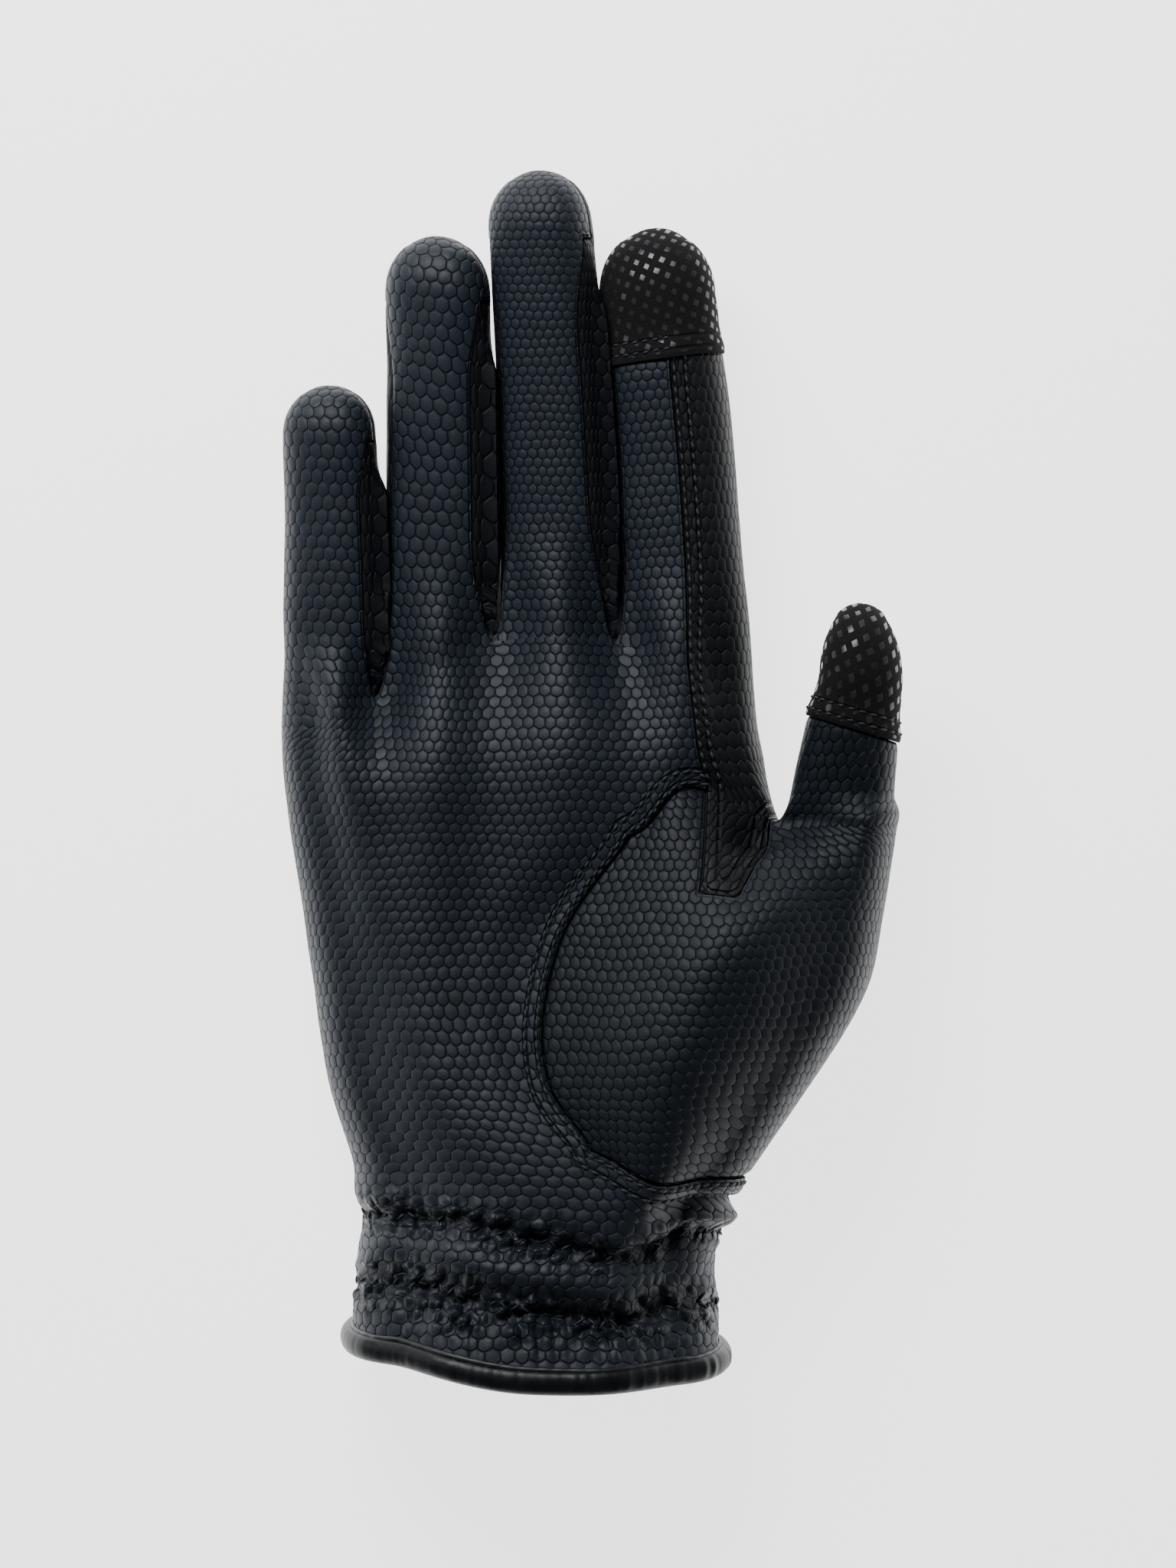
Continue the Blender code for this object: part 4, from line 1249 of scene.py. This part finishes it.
def scaled_leather(name, colour, width, length, drift=2.6, jitter=0.42, rough=0.46, depth=0.32 * MM,
                   shine=0.30):
    """Black leather with an embossed grain of scales. width and length are a scale's, in millimetres."""
    material, shader, start = finish(name)
    where = grain_map(start)
    edge, sewn, highlit_edge, crease = seam_map(start)
    reach, number = scales(start, where, width, length, drift, jitter)
    raised = 1 - reach.step(0.415, 0.49)
    crown = 1 - (reach * reach) * 3.0
    fine = soft_noise(start, where, 5.5, 3.0, 0.6)
    pores = soft_noise(start, where, 1.4, 2.0, 0.5)
    rows = sewn_rows(sewn, 0.85, 3.0, 0.55)
    shirred = start.node("ShaderNodeSeparateXYZ", i0=start.node("ShaderNodeUVMap", {"uv_map": "gather"}))
    lump = start.node("ShaderNodeTexVoronoi", {"feature": "SMOOTH_F1"}, Vector=where, Scale=0.36,
                      Smoothness=0.05)
    lump = 1 - lump.step(0.18, 0.66)
    border = 1 - edge.step(0.05, 0.55)
    # A painted highlight: a lighter colour along the raised edges of the palm and thumb panel at the patch, and of the
    # palm at the strips.
    painted_edge_highlight = 1 - highlit_edge.step(0.22, 0.48)
    height = raised * (0.78 + 0.22 * number) + raised * crown * 0.55 + fine * 0.12 + pores * 0.10
    height = height * (1 - shirred * 0.7) + shirred * lump * 5.5 - rows * 1.7 - border * 1.4
    # The scales' random tone and pores vary the colour; it is darkened along the stitch rows and the seam edges as
    # painted shade in their grooves.
    shade = (0.62 + 0.42 * number + pores * 0.30) * (1 - rows * 0.65) * (1 - border * 0.55)
    # Creases, the web hollow and the hollows between the gathered lumps are darkened as painted shade.
    shade = shade * (1 - crease * 0.5) * (1 - shirred * (1 - lump) * 0.65)
    # The grooves between the scales are painted darker, down to 0.42 of the colour, as painted shade.
    dark = tuple(value * 0.42 for value in colour)
    tone = (raised * shade).colours(dark, colour)
    tone = painted_edge_highlight.colours(tone, PAINTED_EDGE_HIGHLIGHT)
    roughness = 0.14 * (1 - raised) + rough - 0.06 * number + 0.10 * fine - shirred * lump * 0.12
    wear(start, shader, tone, roughness, height, depth)
    shader.inputs["Specular IOR Level"].default_value = shine
    return material


def long_scaled_leather(name, colour):
    """The leather between the fingers, with long upright scales."""
    return scaled_leather(name, colour, 1.45, 3.2, drift=1.6, jitter=0.35, rough=0.50, shine=0.22)


def dotted_fabric(name, turn):
    """Suede-like fabric with a slanted grid of small shiny squares."""
    material, shader, start = finish(name)
    where = grain_map(start)
    _, sewn, _, _ = seam_map(start)
    sway = start.vector("SUBTRACT", soft_noise(start, where, 0.08, 1.0, out=1), (0.5, 0.5, 0.5))
    sway = start.node("ShaderNodeVectorMath", {"operation": "SCALE"}, i0=sway, Scale=0.9)
    spot = start.node("ShaderNodeVectorRotate", {"rotation_type": "Z_AXIS"}, Vector=start.vector("ADD", where, sway),
                      Angle=math.radians(turn))
    spot = start.vector("MULTIPLY", spot, (1 / 2.55, 1 / 2.55, 0.0))
    cell = start.vector("MULTIPLY", start.vector("SUBTRACT", start.vector("FRACTION", spot), (0.5, 0.5, 0.0)),
                        (1.0, 1.0, 0.0))
    cell = start.vector("ABSOLUTE", cell)
    apart = start.node("ShaderNodeSeparateXYZ", i0=cell)
    across = Mix(start.tree, apart.socket.node.outputs[0])
    upward = Mix(start.tree, apart.socket.node.outputs[1])
    square = across.most(upward) * 0.92 + start.vector("LENGTH", cell, out=1) * 0.08
    number = start.node("ShaderNodeTexWhiteNoise", {"noise_dimensions": "2D"}, Vector=start.vector("FLOOR", spot))
    # Random patches of noise where the dots are lighter and glossier.
    dot_patches = soft_noise(start, where, 0.16, 2.0, 0.5).step(0.25, 0.6)
    rows = sewn_rows(sewn, 1.4, 3.5, 0.5)
    dot = (1 - square.step(0.20, 0.245)) * (1 - rows) * sewn.step(0.3, 0.8)
    weave = start.node("ShaderNodeTexVoronoi", {"feature": "F1"}, Vector=where, Scale=2.6, Randomness=0.8)
    fluff = soft_noise(start, where, 7.0, 4.0, 0.65)
    cloth = (fluff * 0.6 + weave * 0.5).colours((0.0020, 0.0020, 0.0025), (0.0110, 0.0110, 0.0125))
    shine = (number * 0.5 + 0.5).colours((0.008, 0.0085, 0.010), (0.030, 0.031, 0.034))
    made = (dot * (0.45 + 0.55 * dot_patches)).colours(cloth, shine)
    height = dot * 1.2 + fluff * (1 - dot) * 0.45 + weave * (1 - dot) * 0.3 - rows * 1.3
    wear(start, shader, made, 0.94 - dot * 0.66, height, 0.22 * MM)
    coat = dot * (0.35 + 0.55 * number) * dot_patches
    start.tree.links.new(coat.socket, shader.inputs["Coat Weight"])
    shader.inputs["Coat Roughness"].default_value = 0.22
    shader.inputs["Specular IOR Level"].default_value = 0.22
    return material


def plain_leather(name, colour, rough, depth, shine):
    """Smooth leather with a fine soft grain."""
    material, shader, start = finish(name)
    where = start.node("ShaderNodeTexCoord", out=3)
    slow = soft_noise(start, where, 260.0, 3.0, 0.6)
    fine = soft_noise(start, where, 2400.0, 3.0, 0.6)
    darker = tuple(value * 0.6 for value in colour)
    lighter = tuple(value * 1.5 for value in colour)
    tone = slow.step(0.25, 0.8).colours(darker, lighter)
    wear(start, shader, tone, rough + (slow - 0.5) * 0.25, slow * 0.6 + fine * 0.4, depth)
    shader.inputs["Specular IOR Level"].default_value = shine
    return material


def thread(name, colour):
    """Waxed sewing thread."""
    material, shader, start = finish(name)
    where = start.node("ShaderNodeTexCoord", out=3)
    twist = start.node("ShaderNodeTexNoise", Vector=where, Scale=3000.0, Detail=2.0)
    tone = twist.colours(tuple(value * 0.55 for value in colour), tuple(value * 1.6 for value in colour))
    wear(start, shader, tone, 0.5 + twist * 0.25, twist, 0.08 * MM)
    return material


def lining(name):
    """The thin black cloth inside the glove."""
    material, shader, start = finish(name)
    where = start.node("ShaderNodeTexCoord", out=3)
    knit = start.node("ShaderNodeTexVoronoi", {"feature": "F1"}, Vector=where, Scale=1400.0)
    fluff = soft_noise(start, where, 420.0, 3.0, 0.6)
    tone = (knit * 0.6 + fluff * 0.5).colours((0.006, 0.006, 0.007), (0.022, 0.022, 0.024))
    wear(start, shader, tone, 0.9 + fluff * 0.1, knit + fluff * 0.5, 0.15 * MM)
    return material


def place_floor():
    """A plain pale floor that runs far past the glove."""
    for other in list(bpy.context.selected_objects):
        other.select_set(False)
    bpy.ops.mesh.primitive_plane_add(size=6.0, location=(0, 0, -0.0001))
    floor = bpy.context.object
    floor.name = "floor"
    material, shader, _ = finish("pale_paper")
    shader.inputs["Base Color"].default_value = (0.84, 0.84, 0.84, 1.0)
    shader.inputs["Roughness"].default_value = 0.9
    shader.inputs["Specular IOR Level"].default_value = 0.1
    shader.inputs["Emission Color"].default_value = (1.0, 1.0, 1.0, 1.0)
    shader.inputs["Emission Strength"].default_value = FLOOR_GLOW
    floor.data.materials.append(material)
    return floor


def place_light(name, size, power_watts, location, aim, shade=(1.0, 1.0, 1.0)):
    """A soft rectangular light."""
    lamp = bpy.data.lights.new(name, "AREA")
    lamp.shape = "RECTANGLE"
    lamp.size, lamp.size_y = size
    lamp.energy = power_watts
    lamp.color = shade
    item = bpy.data.objects.new(name, lamp)
    item.location = location
    item.rotation_euler = (Vector(aim) - Vector(location)).to_track_quat("-Z", "Y").to_euler()
    bpy.context.scene.collection.objects.link(item)


PHOTO = (1536, 2048)
PIXELS_PER_METRE = 7264
PHOTO_ORIGIN = (660, 1825 - 74.8 * 7.264)


def place_camera():
    """A camera straight above, framed as the photograph is."""
    camera = bpy.data.cameras.new("camera")
    item = bpy.data.objects.new("camera", camera)
    distance = 2.4
    middle_height = 0.014
    camera.sensor_fit = "VERTICAL"
    camera.sensor_height = 36.0
    camera.lens = camera.sensor_height * (distance - middle_height) / (PHOTO[1] / PIXELS_PER_METRE)
    camera.clip_start = 0.1
    camera.clip_end = 20
    across = (PHOTO[0] / 2 - PHOTO_ORIGIN[0]) / PIXELS_PER_METRE
    upward = (PHOTO_ORIGIN[1] - PHOTO[1] / 2) / PIXELS_PER_METRE
    item.location = (across, upward, distance)
    bpy.context.scene.collection.objects.link(item)
    bpy.context.scene.camera = item


def light_scene():
    """Even studio light: a pale surround, a wide softbox above and two strips beside the glove."""
    world = bpy.data.worlds.new("studio")
    bpy.context.scene.world = world
    world.use_nodes = True
    world.node_tree.nodes["Background"].inputs["Color"].default_value = (1.0, 1.0, 1.0, 1.0)
    world.node_tree.nodes["Background"].inputs["Strength"].default_value = SURROUND
    place_light("softbox", (0.40, 0.28), 4.2, (-0.16, 0.48, 0.42), (0, 0.09, 0))
    place_light("left_strip", (0.20, 0.9), 0.8, (-0.70, 0.20, 0.18), (0, 0.05, 0.01))
    place_light("right_strip", (0.20, 0.9), 0.1, (0.75, 0.25, 0.16), (0, 0.06, 0.01))
    place_light("foot_strip", (0.9, 0.20), 0.3, (-0.2, -0.80, 0.20), (0, 0.0, 0.01))


def sew_glove(skin_mesh, trees, whole):
    """All the rows of stitches: panel seams, pads, gathers and hem."""
    def beside(panel, other, offset, pitch, longest=0):
        return snapped(trees[panel], spaced(seam_path(skin_mesh, panel, other, offset, longest), pitch))

    threads = [sew("palm_seam_stitches", [beside("palm_panel", "thumb_panel", 0.9 * MM, 2.1 * MM),
                                          beside("palm_panel", "thumb_panel", 3.1 * MM, 2.1 * MM)])]
    threads.append(sew("patch_stitches", [beside("index_side_patch", "palm_panel", 0.9 * MM, 2.0 * MM),
                                          beside("index_side_patch", "palm_panel", 3.0 * MM, 2.0 * MM)], 1.7 * MM))
    pads = [beside("index_tip_pad", "palm_panel", 1.4 * MM, 2.0 * MM),
            beside("index_tip_pad", "palm_panel", 3.5 * MM, 2.0 * MM),
            beside("thumb_tip_pad", "thumb_panel", 1.4 * MM, 2.0 * MM),
            beside("thumb_tip_pad", "thumb_panel", 3.5 * MM, 2.0 * MM)]
    threads.append(sew("pad_stitches", pads, 1.5 * MM, 0.5 * MM, 0.5 * MM))
    rows = []
    for row in (LOWER_GATHER, UPPER_GATHER):
        path = [shifted(point) for point in hand_ring(row, DIGITS)]
        rows += zigzag_stitches(zigzag(path, whole, 2.0 * MM, 0.9 * MM), whole)
    threads.append(sew("gather_stitches", rows, 2.3 * MM, 0.5 * MM, 0.5 * MM, tilt=0))
    hem = [shifted(point) for point in hand_ring(0.035, DIGITS)]
    threads.append(sew("hem_stitches", [snapped(whole, spaced(hem, 3.0 * MM, closed=True))], 1.5 * MM, 0.5 * MM))
    return threads


def ridge_size(number):
    """Half the cord ridge's width and height at a step, narrower where a stitch draws it in."""
    pinch = 1 - RIDGE_PINCH + RIDGE_PINCH * abs(math.sin(math.pi * number / RIDGE_PINCH_STEPS))
    return RIDGE_WIDTH * pinch, RIDGE_HEIGHT * pinch


def build_glove():
    """Builds the glove's pieces and gives each its finish."""
    body = smoothed_skin(build_skin())
    shape_skin(body)
    bm = bmesh.new()
    bm.from_mesh(body.data)
    bm.verts.ensure_lookup_table()
    bm.normal_update()
    whole = BVHTree.FromBMesh(bm)
    seams = edge_trees(bm)

    finishes = {
        "palm_panel": scaled_leather("palm_leather", BLACK_LEATHER, 2.35, 2.05, jitter=0.60),
        "back_panel": scaled_leather("back_leather", BLACK_LEATHER, 2.35, 2.05),
        "thumb_panel": scaled_leather("thumb_leather", MOUND_LEATHER_SHADED, 2.25, 2.00, jitter=0.75, shine=0.22),
        "index_side_patch": scaled_leather("patch_leather", PATCH_LEATHER, 2.15, 2.6, rough=0.50, shine=0.24),
        "index_tip_pad": dotted_fabric("index_pad_fabric", 22),
        "thumb_tip_pad": dotted_fabric("thumb_pad_fabric", -20),
    }
    # The strips' leather colour is darker as painted shade between the fingers.
    strip_leather = long_scaled_leather("strip_leather", STRIP_LEATHER_SHADED)
    inside = lining("black_lining")
    trees = {}
    for name in PANELS:
        panel, trees[name], area = cut_panel(bm, name, seams)
        panel.data.materials.clear()
        panel.data.materials.append(finishes.get(name, strip_leather))
        panel.data.materials.append(inside)
        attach(panel, "root")
        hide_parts(name)
    binding = binding_strip()
    binding.data.materials.append(plain_leather("binding_leather", BINDING_LEATHER, 0.38, 0.06 * MM, 0.32))
    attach(binding, "root")
    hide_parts("cuff_binding")

    ridge_line = [shifted(point) for point in hand_ring(RIDGE_PLACE, DIGITS)]
    ridge_path = snapped(whole, spaced(ridge_line, 0.6 * MM, closed=True))
    ridge = tube("hem_cord_ridge", ridge_path, ridge_size, 8, True)
    ridge.data.materials.append(plain_leather("ridge_leather", RIDGE_LEATHER, 0.42, 0.06 * MM, 0.5))
    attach(ridge, "root")
    yarn = thread("black_thread", THREAD_BLACK)
    for piece in sew_glove(bm, trees, whole):
        piece.data.materials.append(yarn)
        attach(piece, "root")
    bm.free()
    bpy.data.objects.remove(body, do_unlink=True)


build_glove()
place_floor()
place_camera()
light_scene()
